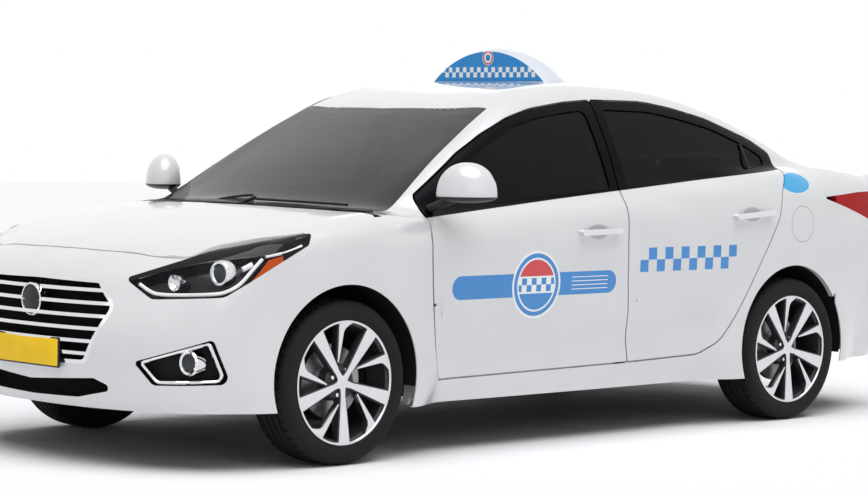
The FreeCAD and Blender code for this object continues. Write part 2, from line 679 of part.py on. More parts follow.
def door_shell(name):
    corners = door_corners(name)
    band = door_zone_slab(name, 0.0, DOOR_BAND).common(across(corners, HALF_GAP))
    frame = door_zone_slab(name, DOOR_BAND * DOOR_LAP_SHARE, FRAME_DEPTH).common(across(corners, DOOR_FRAME_INSET))
    trim = door_zone_slab(name, DOOR_BAND * DOOR_LAP_SHARE, DOOR_DEPTH).common(across(corners, DOOR_TRIM_INSET))
    trim = trim.common(below_belt(BELT_DROP))
    eyes, bores = door_hinge_eyes(name)
    shell = band.fuse([frame, trim])
    shell = shell.cut(across(window_corners(name)))
    return shell.fuse(eyes).cut(Part.makeCompound(bores))


def door_window(name):
    return door_zone_slab(name, GLASS_DEPTH, GLASS_DEPTH + GLASS).common(across(window_corners(name)))


HANDLE_SHARES = {"front": (-0.066, 0.041, 0.580, 0.583), "rear": (0.365, 0.480, 0.614, 0.625)}
HANDLE_HEIGHT = 24.0
HANDLE_REACH = 32.0
HANDLE_FOOT = 40.0
HANDLE_BAR_SHARE = 0.55
HANDLE_LAP_SHARE = 0.56


def door_handle(name):
    """Pull handle: a bar standing off the skin on two feet."""
    x0, x1, z0, z1 = HANDLE_SHARES[name]
    x0, x1, z0, z1 = x0 * HALF_LENGTH, x1 * HALF_LENGTH, z0 * ROOF_HEIGHT, z1 * ROOF_HEIGHT
    half = HANDLE_HEIGHT / 2
    corners = [(x0, z0 - half, half), (x1, z1 - half, half), (x1, z1 + half, half), (x0, z0 + half, half)]
    outline = across(corners)
    outer = door_zone_slab(name, -HANDLE_REACH, -HANDLE_REACH * HANDLE_BAR_SHARE)
    feet = door_zone_slab(name, -HANDLE_REACH * HANDLE_LAP_SHARE, DOOR_BAND * DOOR_LAP_SHARE).common(outline)
    mid = box(x0 + HANDLE_FOOT, x1 - HANDLE_FOOT, -WIDTH, 0.0, z0 - HANDLE_HEIGHT, z1 + HANDLE_HEIGHT)
    return outer.common(outline).fuse(feet.cut(mid))


def door(name):
    return door_shell(name).fuse(door_handle(name))


MIRROR_SHARES = {"cap": (-0.398, -1.085, 0.700), "foot": (-0.404, -0.890, 0.645)}
MIRROR_LENGTH = 118.0
MIRROR_WIDTH = 208.0
MIRROR_HEIGHT = 142.0
MIRROR_ROUND = 40.0
MIRROR_GLASS_INSET = 14.0
MIRROR_FOOT_RADIUS = 17.0
MIRROR_CORNER_SHARES = {"outer low": 0.72, "inner top": 0.8, "outer width": 0.9, "outer round": 1.2}
MIRROR_NOSE_SHARE = 0.8
MIRROR_RECESS_SHARE = 0.6
MIRROR_FOOT_SHARES = (0.55, 0.4)


def mirror():
    """Outside mirror: a rounded cap, hollow to its glass, on a foot at the window's front corner."""
    x, y, z = MIRROR_SHARES["cap"]
    x, y, z = x * HALF_LENGTH, y * HALF_WIDTH, z * ROOF_HEIGHT
    half_w, half_h = MIRROR_WIDTH / 2, MIRROR_HEIGHT / 2
    k = MIRROR_CORNER_SHARES
    corners = [(y - half_w, z - half_h * k["outer low"], MIRROR_ROUND), (y + half_w, z - half_h, MIRROR_ROUND),
               (y + half_w, z + half_h * k["inner top"], MIRROR_ROUND),
               (y - half_w * k["outer width"], z + half_h, MIRROR_ROUND * k["outer round"])]
    body = front_prism(corners, x - MIRROR_LENGTH / 2, x + MIRROR_LENGTH / 2)
    front = [e for e in body.Edges if abs(e.BoundBox.XMax - e.BoundBox.XMin) < ROOT_STEP
             and e.BoundBox.XMax < x]
    body = body.makeFillet(MIRROR_ROUND * MIRROR_NOSE_SHARE, front)
    recess = front_prism(corners, x + MIRROR_LENGTH / 2 - MIRROR_GLASS_INSET, x + MIRROR_LENGTH,
                         MIRROR_GLASS_INSET * MIRROR_RECESS_SHARE)
    fx, fy, fz = MIRROR_SHARES["foot"]
    foot_end = Vector(fx * HALF_LENGTH, fy * HALF_WIDTH, fz * ROOF_HEIGHT)
    across_share, down_share = MIRROR_FOOT_SHARES
    foot = rod(foot_end, Vector(x, y + half_w * across_share, z - half_h * down_share), MIRROR_FOOT_RADIUS)
    foot = foot.cut(door_zone_slab("front", 0.0, DEEP))
    solid = body.cut(recess).fuse(foot)
    return max(solid.Solids, key=lambda part: part.Volume)


# Fixed body

SILL_LOW_SHARE = 0.137
JAMB_LAP = 4.0


def fender_region(inset=0.0):
    return across(scaled(FENDER_SHARES, HALF_LENGTH, ROOF_HEIGHT), inset)


REAR_BUMPER_EDGE_SHARES = [
    (0.64, 0.10, 0.01), (0.684, 0.362, 0.01), (0.735, 0.440, 0.1), (0.800, 0.545, 0.1), (0.825, 0.600, 0.01),
    (1.10, 0.600, 0.01), (1.10, 0.10, 0.01)]
TAILLAMP_SHARES = [
    (0.647, -0.981, 0.666, 0.004), (0.78, -0.955, 0.680, 0.2), (0.965, -0.762, 0.684, 0.01),
    (0.965, -0.762, 0.565, 0.01), (0.875, -0.84, 0.558, 0.03), (0.80, -0.93, 0.600, 0.1)]
HEADLAMP_SHARES = [
    (-0.946, -0.511, 0.481, 0.008), (-0.9375, -0.666, 0.432, 0.03), (-0.866, -0.923, 0.441, 0.05),
    (-0.829, -0.964, 0.476, 0.03), (-0.706, -0.982, 0.567, 0.014), (-0.688, -0.945, 0.5965, 0.006),
    (-0.775, -0.868, 0.576, 0.2), (-0.852, -0.762, 0.5497, 0.2), (-0.887, -0.701, 0.5276, 0.2)]


def body_cutters():
    """What leaves the whole side skin: glass, roof, hood, lid, lamps and bumpers."""
    return [whole_plan(SCREEN_PLAN_SHARES), whole_plan(ROOF_PLAN_SHARES), whole_plan(BACK_PLAN_SHARES),
            slant_prism(TAILLAMP_SHARES, 1), cowl_zone()]


COWL_ZONE_SHARES = {"x": (-0.62, -0.49), "half": 0.80, "low": 0.5}


def cowl_zone():
    """Gap across the car between the hood's rear edge and the windscreen's base."""
    x0, x1 = [share * HALF_LENGTH for share in COWL_ZONE_SHARES["x"]]
    half = COWL_ZONE_SHARES["half"] * HALF_WIDTH
    return box(x0, x1, -half, half, COWL_ZONE_SHARES["low"] * ROOF_HEIGHT, 2 * ROOF_HEIGHT)


def lid_region(inset):
    corners = scaled(LID_PLAN_SHARES, HALF_LENGTH, HALF_WIDTH)
    return plan_prism(both_sides(corners), LID_LOW_SHARE * ROOF_HEIGHT + inset, 2 * ROOF_HEIGHT, inset)


def rear_bumper_region(inset=0.0):
    return across(scaled(REAR_BUMPER_EDGE_SHARES, HALF_LENGTH, ROOF_HEIGHT), inset)


def door_ring():
    """Outer layer of the side: sill, rail, pillars and quarter, with the door openings cut."""
    cutters = [across(door_corners("front"), -HALF_GAP), across(door_corners("rear"), -HALF_GAP), fender_region(),
               rear_bumper_region(), lid_region(0.0), whole_plan(HOOD_PLAN_SHARES, -HALF_GAP)]
    return carved(side_layer(0.0, JAMB_START + JAMB_LAP), cutters)


def above_sill():
    return box(-LENGTH, LENGTH, -WIDTH, WIDTH, SILL_LOW_SHARE * ROOF_HEIGHT, 2 * ROOF_HEIGHT)


def crosswise_band(x0, x1):
    return box(x0, x1, -WIDTH, 0.0, 0.0, 2 * ROOF_HEIGHT)


def hinge_pocket(name):
    x = hinge_x(name)
    low = SILL_LOW_SHARE * ROOF_HEIGHT
    room = box(x - POCKET_AHEAD, x + POCKET_BEHIND, -WIDTH, 0.0, low, POST_TOP_SHARE * ROOF_HEIGHT + POCKET_AHEAD)
    return side_layer(JAMB_START - JAMB_LAP, POST_START).common(room)


def swing_relief(name):
    """Room above a hinge pocket for the door's leading edge, which swings inwards as it opens."""
    behind, top = RELIEF_SHARES[name]
    x = hinge_x(name)
    zone = box(x - POCKET_AHEAD, x + behind * HALF_LENGTH, -WIDTH, 0.0, POST_TOP_SHARE * ROOF_HEIGHT,
               top * ROOF_HEIGHT)
    zone = zone.common(across(door_corners(name), -RELIEF_MARGIN))
    return side_layer(JAMB_START - JAMB_LAP, JAMB_START + RELIEF_DEPTH).common(zone)


POST_SHARES = {"front": (-0.452, -0.3985), "rear": (0.052, 0.1015)}
POST_TOP_SHARE = 0.63
SILL_TOP_SHARE = 0.21


def door_jamb():
    """Inner flange that the doors close against, with the sill box and the hinge posts."""
    low = SILL_LOW_SHARE * ROOF_HEIGHT
    zone = across(door_corners("front"), -JAMB_OUTSET).fuse(across(door_corners("rear"), -JAMB_OUTSET))
    zone = zone.fuse(box(FRONT_DOOR_SHARES[0][0] * HALF_LENGTH, REAR_DOOR_SHARES[-1][0] * HALF_LENGTH, -WIDTH, 0.0,
                         low, SILL_TOP_SHARE * ROOF_HEIGHT))
    cutters = [across(door_corners("front"), JAMB_INSET), across(door_corners("rear"), JAMB_INSET),
               hinge_pocket("front"), hinge_pocket("rear"), swing_relief("front"), swing_relief("rear")]
    jamb = carved(side_layer(JAMB_START, JAMB_END).common(zone), cutters)
    for a, b in POST_SHARES.values():
        room = box(a * HALF_LENGTH, b * HALF_LENGTH, -WIDTH, 0.0, low, POST_TOP_SHARE * ROOF_HEIGHT)
        jamb = jamb.fuse(side_layer(POST_START, POST_END).common(room))
    return jamb


def body_side():
    side = door_ring().fuse(door_jamb())
    side = carved(side, [arch_hole(X_FRONT_AXLE), arch_hole(X_REAR_AXLE)] + body_cutters()).common(above_sill())
    hinges = fused(door_hinge_leaves("front") + door_hinge_leaves("rear"))
    return largest(side.fuse(hinges))


HOOD_CORNER_AHEAD = 14.0
HOOD_CORNER_BEHIND = 24.0
HOOD_CORNER_SHARES = (0.79, 0.913)
FENDER_SPAN_SHARES = (-0.84, -0.38)
FENDER_HIGH = 66.0


def hood_corner_room():
    """Notch in the fender for the hood's rear corner, which moves back as the hood opens."""
    axis = hood_axis()
    near, far = HOOD_CORNER_SHARES
    return box(axis.x - HOOD_CORNER_AHEAD, axis.x + HOOD_CORNER_BEHIND, -far * HALF_WIDTH, -near * HALF_WIDTH,
               axis.z, axis.z + HOOD_HINGE_DROP + HOOD_HINGE_DROP)


def fender():
    first, last = FENDER_SPAN_SHARES
    skin = side_slab(first, last, SIDE_LOW, FENDER_HIGH, 0.0, SHEET)
    skin = skin.common(fender_region())
    cutters = [whole_plan(HOOD_PLAN_SHARES, -HALF_GAP), slant_prism(HEADLAMP_SHARES, -1),
               across(door_corners("front"), -HALF_GAP), arch_hole(X_FRONT_AXLE), cowl_zone(), hood_corner_room()]
    return largest(carved(skin, cutters).common(above_sill()))


# Nose

GRILLE_SHARES = [(0.0, 0.480, 0.0), (0.40, 0.476, 0.02), (0.515, 0.412, 0.03), (0.365, 0.262, 0.03),
                 (0.0, 0.257, 0.0)]
INTAKE_SHARES = [(0.0, 0.212, 0.0), (0.400, 0.228, 0.02), (0.520, 0.203, 0.01), (0.30, 0.176, 0.02),
                 (0.0, 0.172, 0.0)]
FOG_SHARES = [(-0.956, -0.606, 0.276, 0.008), (-0.883, -0.906, 0.338, 0.012), (-0.851, -0.925, 0.225, 0.02),
              (-0.938, -0.681, 0.219, 0.02)]
GRILLE_RIM = 15.0
GRILLE_DEPTH = 26.0
BAR_HEIGHT = 13.0
BAR_COUNT = 6
BACKING_DEPTH = 55.0
BACKING_SHARES = (0.15, 0.50)
BACKING_REACH = 60.0
LATTICE_SHARE = 0.8
FRAME_LAP_SHARE = 0.9
LAMP_DEPTH = 90.0
FOG_DEPTH = 40.0
HEADLAMP_SPAN_SHARES = (0.40, 0.615)
FOG_SPAN_SHARES = (0.15, 0.42)
TAILLAMP_SPAN_SHARES = (0.50, 0.72)
TAILLAMP_DEPTH_SHARE = 0.6


def front_outline(shares, inset=0.0):
    """Prism along the car through a front outline, from its right half in shares of width and height."""
    half = scaled(shares, HALF_WIDTH, ROOF_HEIGHT)
    corners = half + [(-y, z, r) for y, z, r in reversed(half[1:-1])]
    return front_prism(corners, -LENGTH, 0.0, inset)


def both(shape):
    return [shape, mirrored(shape)]


def front_bumper():
    cover = nose_slab(0.0, SHEET, NOSE_LOW_SHARE, BUMPER_TOP_SHARE)
    lamp = slant_prism(HEADLAMP_SHARES, -1)
    fog = slant_prism(FOG_SHARES, -1)
    fender_zone = fender_region()
    cutters = [front_outline(GRILLE_SHARES), front_outline(INTAKE_SHARES), whole_plan(HOOD_PLAN_SHARES, -HALF_GAP)]
    cutters += both(lamp) + both(fog) + both(fender_zone)
    cutters += [arch_hole(X_FRONT_AXLE), box(X_FRONT_AXLE, 0.0, -WIDTH, WIDTH, 0.0, ROOF_HEIGHT)]
    return largest(carved(cover, cutters))


NOSE_LOW_SHARE = 0.150


def grille():
    """Hexagonal frame with curved bars across it."""
    body = nose_slab(0.0, GRILLE_DEPTH)
    frame = body.common(front_outline(GRILLE_SHARES).cut(front_outline(GRILLE_SHARES, GRILLE_RIM)))
    opening = front_outline(GRILLE_SHARES, GRILLE_RIM * FRAME_LAP_SHARE)
    top, low = GRILLE_SHARES[0][1] * ROOF_HEIGHT, GRILLE_SHARES[-1][1] * ROOF_HEIGHT
    pitch = (top - low) / (BAR_COUNT + 1)
    bars = [box(-LENGTH, 0.0, -WIDTH, WIDTH, low + pitch * (i + 1) - BAR_HEIGHT / 2,
                low + pitch * (i + 1) + BAR_HEIGHT / 2) for i in range(BAR_COUNT)]
    lattice = nose_slab(0.0, GRILLE_DEPTH * LATTICE_SHARE).common(opening).common(Part.makeCompound(bars))
    return fused([frame] + lattice.Solids)


def front_backing():
    """Dark panel that closes the nose behind the grille and the intake."""
    return nose_slab(BACKING_DEPTH, BACKING_DEPTH + SHEET, *BACKING_SHARES, BACKING_REACH)


def headlamp():
    shell = nose_slab(0.0, LAMP_DEPTH, *HEADLAMP_SPAN_SHARES)
    return shell.common(slant_prism(HEADLAMP_SHARES, -1)).cut(whole_plan(HOOD_PLAN_SHARES, -HALF_GAP))


def fog_lamp():
    """Fog lamp unit in the bumper's corner."""
    return nose_slab(0.0, FOG_DEPTH, *FOG_SPAN_SHARES).common(slant_prism(FOG_SHARES, -1))


# Panels seen from above

def hood():
    return top_slab("hood", 0.0, HOOD_THICKNESS).common(whole_plan(HOOD_PLAN_SHARES, HALF_GAP))


HOOD_THICKNESS = 16.0
HOOD_LAP_SHARE = 0.5
SCREEN_THICKNESS = 6.0
ROOF_THICKNESS = 26.0
LID_THICKNESS = 20.0
LID_ARC = (-42.0, 118.0, 24)
LID_HALF_SHARE = 0.80
LID_LANES = 13


def windscreen():
    return top_slab("windscreen", 0.0, SCREEN_THICKNESS).common(whole_plan(SCREEN_PLAN_SHARES))


def roof_slab(outer, inner):
    return top_slab("roof", outer, inner)


def roof_panel():
    return roof_slab(0.0, ROOF_THICKNESS).common(whole_plan(ROOF_PLAN_SHARES))


def rear_window():
    return top_slab("rear window", 0.0, SCREEN_THICKNESS).common(whole_plan(BACK_PLAN_SHARES))


def trunk_lid():
    low, high, rows = LID_ARC
    half = LID_HALF_SHARE * HALF_WIDTH
    us = steps(low, high, rows)
    vs = steps(-half, half, LID_LANES)
    return skin_slab(lid_point, us, vs, 0.0, LID_THICKNESS).common(lid_region(HALF_GAP))


def taillamp():
    layer = tail_slab(0.0, LAMP_DEPTH * TAILLAMP_DEPTH_SHARE, *TAILLAMP_SPAN_SHARES)
    return layer.common(slant_prism(TAILLAMP_SHARES, 1)).cut(lid_region(0.0))


def rear_bumper():
    cover = tail_slab(0.0, SHEET, TAIL_LOW_SHARE, TAIL_TOP_SHARE)
    zone = rear_bumper_region()
    cutters = both(slant_prism(TAILLAMP_SHARES, 1)) + [lid_region(0.0), arch_hole(X_REAR_AXLE)]
    return largest(carved(cover.common(zone.fuse(mirrored(zone))), cutters))


# Roof sign

SIGN_SHARES = {"x": 0.082, "half": 0.45, "top": 1.1, "base": 0.97}
SIGN_THICK = 150.0
SIGN_STATION_SHARES = [(0.0, 0.97, 0.99), (0.5, 1.0, 1.0), (1.0, 0.94, 0.985)]
SIGN_CUT_SHARE = 3.0


def roof_sign():
    """Domed light box across the roof, seated on it."""
    x0 = SIGN_SHARES["x"] * HALF_LENGTH
    half = SIGN_SHARES["half"] * HALF_WIDTH
    base, top = SIGN_SHARES["base"] * ROOF_HEIGHT, SIGN_SHARES["top"] * ROOF_HEIGHT

    def arch(x, reach, height):
        start, end = Vector(x, -reach, base), Vector(x, reach, base)
        dome = Part.Arc(start, Vector(x, 0, height), end).toShape()
        return Part.Wire([dome, Part.makeLine(end, start)])

    stations = [arch(x0 + SIGN_THICK * along, half * wide, top * high) for along, wide, high in SIGN_STATION_SHARES]
    return Part.makeLoft(stations, True).cut(roof_slab(0.0, ROOF_THICKNESS * SIGN_CUT_SHARE))


# Wheels

TYRE_SHOULDER = 22.0
TYRE_BEAD_WIDTH = 190.0
BORE_RADIUS = 14.0
SPINDLE_RADIUS = BORE_RADIUS - RUNNING_GAP
RIM_FACE_INSET = 6.0
RIM_WALL = 8.0
SPOKE_THICK = 30.0
HUB_RADIUS = 75.0
SPOKE_COUNT = 5
BRAKE_RADIUS = 140.0
BRAKE_THICK = 20.0
BRAKE_FACE = 40.0
TYRE_KNEE_SHARE = 0.3
RIM_EDGE_SHARE = 0.4
HUB_CLEARANCE = RUNNING_GAP * 10


def revolved(corners, x, z):
    """Ring turned about a crosswise axis at (x, z), from a profile of (y, radius)."""
    wire = Part.makePolygon([Vector(x, y, z + r) for y, r in corners + corners[:1]])
    return Part.Face(wire).revolve(Vector(x, 0, z), Y_AXIS, 360)


def tyre(x):
    """Left tyre, its outer wall at -Y."""
    outer, inner = -WHEEL_Y - TYRE_WIDTH / 2, -WHEEL_Y + TYRE_WIDTH / 2
    bead = (TYRE_WIDTH - TYRE_BEAD_WIDTH) / 2
    rim = RIM_DIAMETER / 2
    mid = (rim + WHEEL_RADIUS) / 2
    profile = [(outer + bead, rim), (outer, mid), (outer + TYRE_SHOULDER * TYRE_KNEE_SHARE, WHEEL_RADIUS - TYRE_SHOULDER),
               (outer + TYRE_SHOULDER, WHEEL_RADIUS), (inner - TYRE_SHOULDER, WHEEL_RADIUS),
               (inner - TYRE_SHOULDER * TYRE_KNEE_SHARE, WHEEL_RADIUS - TYRE_SHOULDER), (inner, mid), (inner - bead, rim)]
    return revolved(profile, x, WHEEL_RADIUS)


def spoke(x, angle, root_half, tip_half):
    face_y = -WHEEL_Y - TYRE_WIDTH / 2 + RIM_FACE_INSET
    reach = RIM_DIAMETER / 2 - RIM_WALL
    corners = [Vector(x - root_half, face_y, WHEEL_RADIUS), Vector(x + root_half, face_y, WHEEL_RADIUS),
               Vector(x + tip_half, face_y, WHEEL_RADIUS + reach), Vector(x - tip_half, face_y, WHEEL_RADIUS + reach)]
    blade = Part.Face(Part.makePolygon(corners + corners[:1])).extrude(Vector(0, SPOKE_THICK, 0))
    blade.rotate(Vector(x, 0, WHEEL_RADIUS), Y_AXIS, angle)
    return blade


WIDE_SPOKE = (24.0, 34.0)
THIN_SPOKE = (9.0, 12.0)


def rim(x):
    """Left wheel with its hub and brake disc."""
    outer, inner = -WHEEL_Y - TYRE_WIDTH / 2, -WHEEL_Y + TYRE_WIDTH / 2
    bead = (TYRE_WIDTH - TYRE_BEAD_WIDTH) / 2
    radius = RIM_DIAMETER / 2
    barrel = revolved([(outer + bead * RIM_EDGE_SHARE, radius), (inner - bead, radius), (inner - bead, radius - RIM_WALL),
                       (outer + bead * RIM_EDGE_SHARE, radius - RIM_WALL)], x, WHEEL_RADIUS)
    face_y = outer + RIM_FACE_INSET
    spokes = []
    for i in range(SPOKE_COUNT):
        turn = 360.0 * i / SPOKE_COUNT
        spokes.append(spoke(x, 180.0 + turn, *WIDE_SPOKE))
        spokes.append(spoke(x, 180.0 + turn + 180.0 / SPOKE_COUNT, *THIN_SPOKE))
    centre = Vector(x, face_y + RIM_FACE_INSET, WHEEL_RADIUS)
    hub = rod(centre, centre + Vector(0, SPOKE_THICK + BRAKE_FACE, 0), HUB_RADIUS)
    disc = rod(centre + Vector(0, SPOKE_THICK + BRAKE_FACE - BRAKE_THICK, 0),
               centre + Vector(0, SPOKE_THICK + BRAKE_FACE, 0), BRAKE_RADIUS)
    bore = rod(centre + Vector(0, SPOKE_THICK, 0), centre + Vector(0, SPOKE_THICK + BRAKE_FACE + OVERRUN, 0),
               BORE_RADIUS)
    return barrel.fuse(spokes + [hub, disc]).cut(bore)


SPINDLE_END = -WHEEL_Y - TYRE_WIDTH / 2 + RIM_FACE_INSET * 2 + SPOKE_THICK + HUB_CLEARANCE
HUB_FACE = -WHEEL_Y - TYRE_WIDTH / 2 + RIM_FACE_INSET * 2 + SPOKE_THICK + BRAKE_FACE


# Floor and structure

FLOOR_SHEET = 12.0
FLOOR_SHARES = [(-0.456, 0.750), (-0.456, 0.235), (-0.375, 0.148), (0.185, 0.148), (0.212, 0.231), (0.430, 0.231),
                (0.455, 0.290), (0.890, 0.290), (0.925, 0.360), (0.925, 0.420)]
FLOOR_HALF_SHARE = 0.865
TUNNEL_HALF = 105.0
TUNNEL_RISE = 95.0
HOUSE_RADIUS = 362.0
HOUSE_SHEET = 5.0
HOUSE_INNER_FRONT = 452.0
HOUSE_INNER_REAR = 556.0
HOUSE_LOW_SHARE = 0.19
WALL_HOLE_SHARE = 0.5
ARM_ROOM_SHARE = 2.0
HOUSE_NOSE_SHARE = 0.8
RAIL_WIDTH = 60.0
RAIL_FRONT_SHARE = 0.945
RAIL_LOW_SHARE = 0.27
RAIL_HEIGHT = 95.0
TOWER_RADIUS = 66.0


def sheet_profile(shares, thickness):
    """Closed (x, z) outline of a folded sheet whose upper face follows the shares."""
    top = [(x * HALF_LENGTH, z * ROOF_HEIGHT) for x, z in shares]
    lower = []
    for i, (x, z) in enumerate(top):
        ax, az = top[max(i - 1, 0)]
        bx, bz = top[min(i + 1, len(top) - 1)]
        la, lb = math.hypot(x - ax, z - az) or 1.0, math.hypot(bx - x, bz - z) or 1.0
        nax, naz = (z - az) / la, -(x - ax) / la
        nbx, nbz = (bz - z) / lb, -(bx - x) / lb
        if i == 0:
            nax, naz = nbx, nbz
        if i == len(top) - 1:
            nbx, nbz = nax, naz
        k = thickness / (1 + nax * nbx + naz * nbz)
        lower.append((x + (nax + nbx) * k, z + (naz + nbz) * k))
    return [(x, z, 0.0) for x, z in top + lower[::-1]]


def floor_pan():
    """Firewall, floor with its tunnel, rear seat pan and boot floor in one pressing."""
    half = FLOOR_HALF_SHARE * HALF_WIDTH
    pan = side_prism(sheet_profile(FLOOR_SHARES, FLOOR_SHEET), -half, half)
    floor_z = FLOOR_SHARES[3][1] * ROOF_HEIGHT
    x0, x1 = FLOOR_SHARES[2][0] * HALF_LENGTH, FLOOR_SHARES[3][0] * HALF_LENGTH
    hump = box(x0, x1, -TUNNEL_HALF, TUNNEL_HALF, floor_z - FLOOR_SHEET, floor_z + TUNNEL_RISE)
    inner = TUNNEL_HALF - FLOOR_SHEET
    hollow = box(x0, x1, -inner, inner, 0.0, floor_z + TUNNEL_RISE - FLOOR_SHEET)
    wheels = both(house_rod(X_FRONT_AXLE, HOUSE_INNER_FRONT)) + both(house_rod(X_REAR_AXLE, HOUSE_INNER_REAR))
    sides = [outside(JAMB_END)]
    for a, b in POST_SHARES.values():
        sides.append(outside(POST_END).common(crosswise_band(a * HALF_LENGTH, b * HALF_LENGTH)))
    tail = tail_slab(-HALF_WIDTH * BEYOND_SHARE, SHEET, TAIL_LOW_SHARE, TAIL_TOP_SHARE)
    cutters = [hollow, tail, cowl_layer(-ROOF_HEIGHT * BEYOND_SHARE, COWL_DEPTH + SHEET)] + wheels
    return largest(carved(pan.fuse(hump), cutters + [cut for side in sides for cut in both(side)]))


def house_rod(x, inner_y):
    """Outside of the left wheel house at x."""
    return rod(Vector(x, -HALF_WIDTH, ARCH_Z), Vector(x, -inner_y, ARCH_Z), HOUSE_RADIUS + HOUSE_SHEET)


def wheel_house(x, inner_y):
    """Arch liner: half barrel with its inner wall."""
    low = HOUSE_LOW_SHARE * ROOF_HEIGHT
    barrel = house_rod(x, inner_y)
    barrel = barrel.cut(rod(Vector(x, -WIDTH, ARCH_Z), Vector(x, -inner_y - HOUSE_SHEET, ARCH_Z), HOUSE_RADIUS))
    wall_hole = box(x - HOUSE_RADIUS * WALL_HOLE_SHARE, x + HOUSE_RADIUS * WALL_HOLE_SHARE, -HALF_WIDTH, 0.0, 0.0,
                    ARCH_Z + TOWER_RADIUS)
    return barrel.common(box(-LENGTH, LENGTH, -WIDTH, 0.0, low, ROOF_HEIGHT)).cut(wall_hole)


def front_liner():
    """Front arch liner with the strut tower, seated on the insides of the fender and bumper."""
    first, last = FENDER_SPAN_SHARES
    beyond = -HALF_WIDTH * OUTSIDE_SHARE
    house = wheel_house(X_FRONT_AXLE, HOUSE_INNER_FRONT)
    house = house.cut(side_slab(first, last, SIDE_LOW - ANGLE_STEP, FENDER_HIGH + ANGLE_STEP, beyond, SHEET))
    low_share = NOSE_LOW_SHARE * HOUSE_NOSE_SHARE
    house = house.cut(nose_slab(-HALF_WIDTH * BEYOND_SHARE, SHEET, low_share, BUMPER_TOP_SHARE))
    top = kingpin_point(1.0)
    axis = (kingpin_point(1.0) - kingpin_point(0.0)).normalize()
    hole = rod(top - axis * ROOF_HEIGHT * TOWER_SHARES["hole"], top + axis * OVERRUN, TOWER_RADIUS)
    cap = tower().cut(rod(Vector(X_FRONT_AXLE, -WIDTH, ARCH_Z), Vector(X_FRONT_AXLE, WIDTH, ARCH_Z), HOUSE_RADIUS))
    return largest(house).cut(hole).fuse(cap)


def rear_liner():
    """Rear arch liner, seated on the inside of the quarter and round the door's jamb."""
    house = wheel_house(X_REAR_AXLE, HOUSE_INNER_REAR).cut(outside(JAMB_START + JAMB_LAP))
    jamb = outside(JAMB_END).common(across(door_corners("rear"), -JAMB_OUTSET))
    house = house.cut(jamb)
    arm_room = box(X_REAR_AXLE - HOUSE_RADIUS * ARM_ROOM_SHARE, X_REAR_AXLE, -WHEEL_Y, 0.0, 0.0, WHEEL_RADIUS + OVERRUN)
    return largest(house).cut(arm_room)


def kingpin_point(share):
    """Point on the left kingpin line: 0 at the lower ball joint, 1 at the strut's top bearing."""
    low, high = KINGPIN_SHARES
    y = low[0] + (high[0] - low[0]) * share
    z = low[1] + (high[1] - low[1]) * share
    return Vector(X_FRONT_AXLE, -y * HALF_WIDTH, z * ROOF_HEIGHT)


KINGPIN_SHARES = [(0.8155, 0.138), (0.665, 0.5517)]
BALL_RADIUS = 9.0
BALL_BOSS = 19.0
BALL_HEIGHT = 26.0
TOP_PIN = 10.0
TOP_PIN_LENGTH = 46.0
STRUT_RADIUS = 24.0
STRUT_SHARES = [(0.697, 0.295), (0.671, 0.525)]
CARRIER_RADIUS = 46.0
CARRIER_DEPTH = 34.0
TOWER_SHARES = {"outer": 0.12, "hole": 0.3, "bore": 0.2}
CAP_SHARE = 0.4
STRUT_FOOT_SHARE = 0.2
PIN_OVER_SHARE = 0.5


def tower():
    """Strut tower over the front wheel, with the bore of the strut's top bearing."""
    top = kingpin_point(1.0)
    axis = (kingpin_point(1.0) - kingpin_point(0.0)).normalize()
    cap_low = top - axis * (TOP_PIN_LENGTH * CAP_SHARE)
    outer = rod(top - axis * ROOF_HEIGHT * TOWER_SHARES["outer"], top, TOWER_RADIUS + HOUSE_SHEET)
    inner = rod(top - axis * ROOF_HEIGHT * TOWER_SHARES["hole"], cap_low, TOWER_RADIUS)
    bore = rod(top - axis * ROOF_HEIGHT * TOWER_SHARES["bore"], top + axis * OVERRUN, TOP_PIN + RUNNING_GAP)
    return outer.cut([inner, bore])


def front_structure():
    """Rails along the engine bay and the panel behind the grille."""
    firewall_x = FLOOR_SHARES[0][0] * HALF_LENGTH - FLOOR_SHEET
    low = RAIL_LOW_SHARE * ROOF_HEIGHT
    panel = carved(front_backing(), both(slant_prism(HEADLAMP_SHARES, -1)) + both(slant_prism(FOG_SHARES, -1)))
    rail = box(-HALF_LENGTH * RAIL_FRONT_SHARE, firewall_x, -HOUSE_INNER_FRONT, RAIL_WIDTH - HOUSE_INNER_FRONT, low,
               low + RAIL_HEIGHT)
    return fused([panel] + both(rail))


# Front suspension and steering

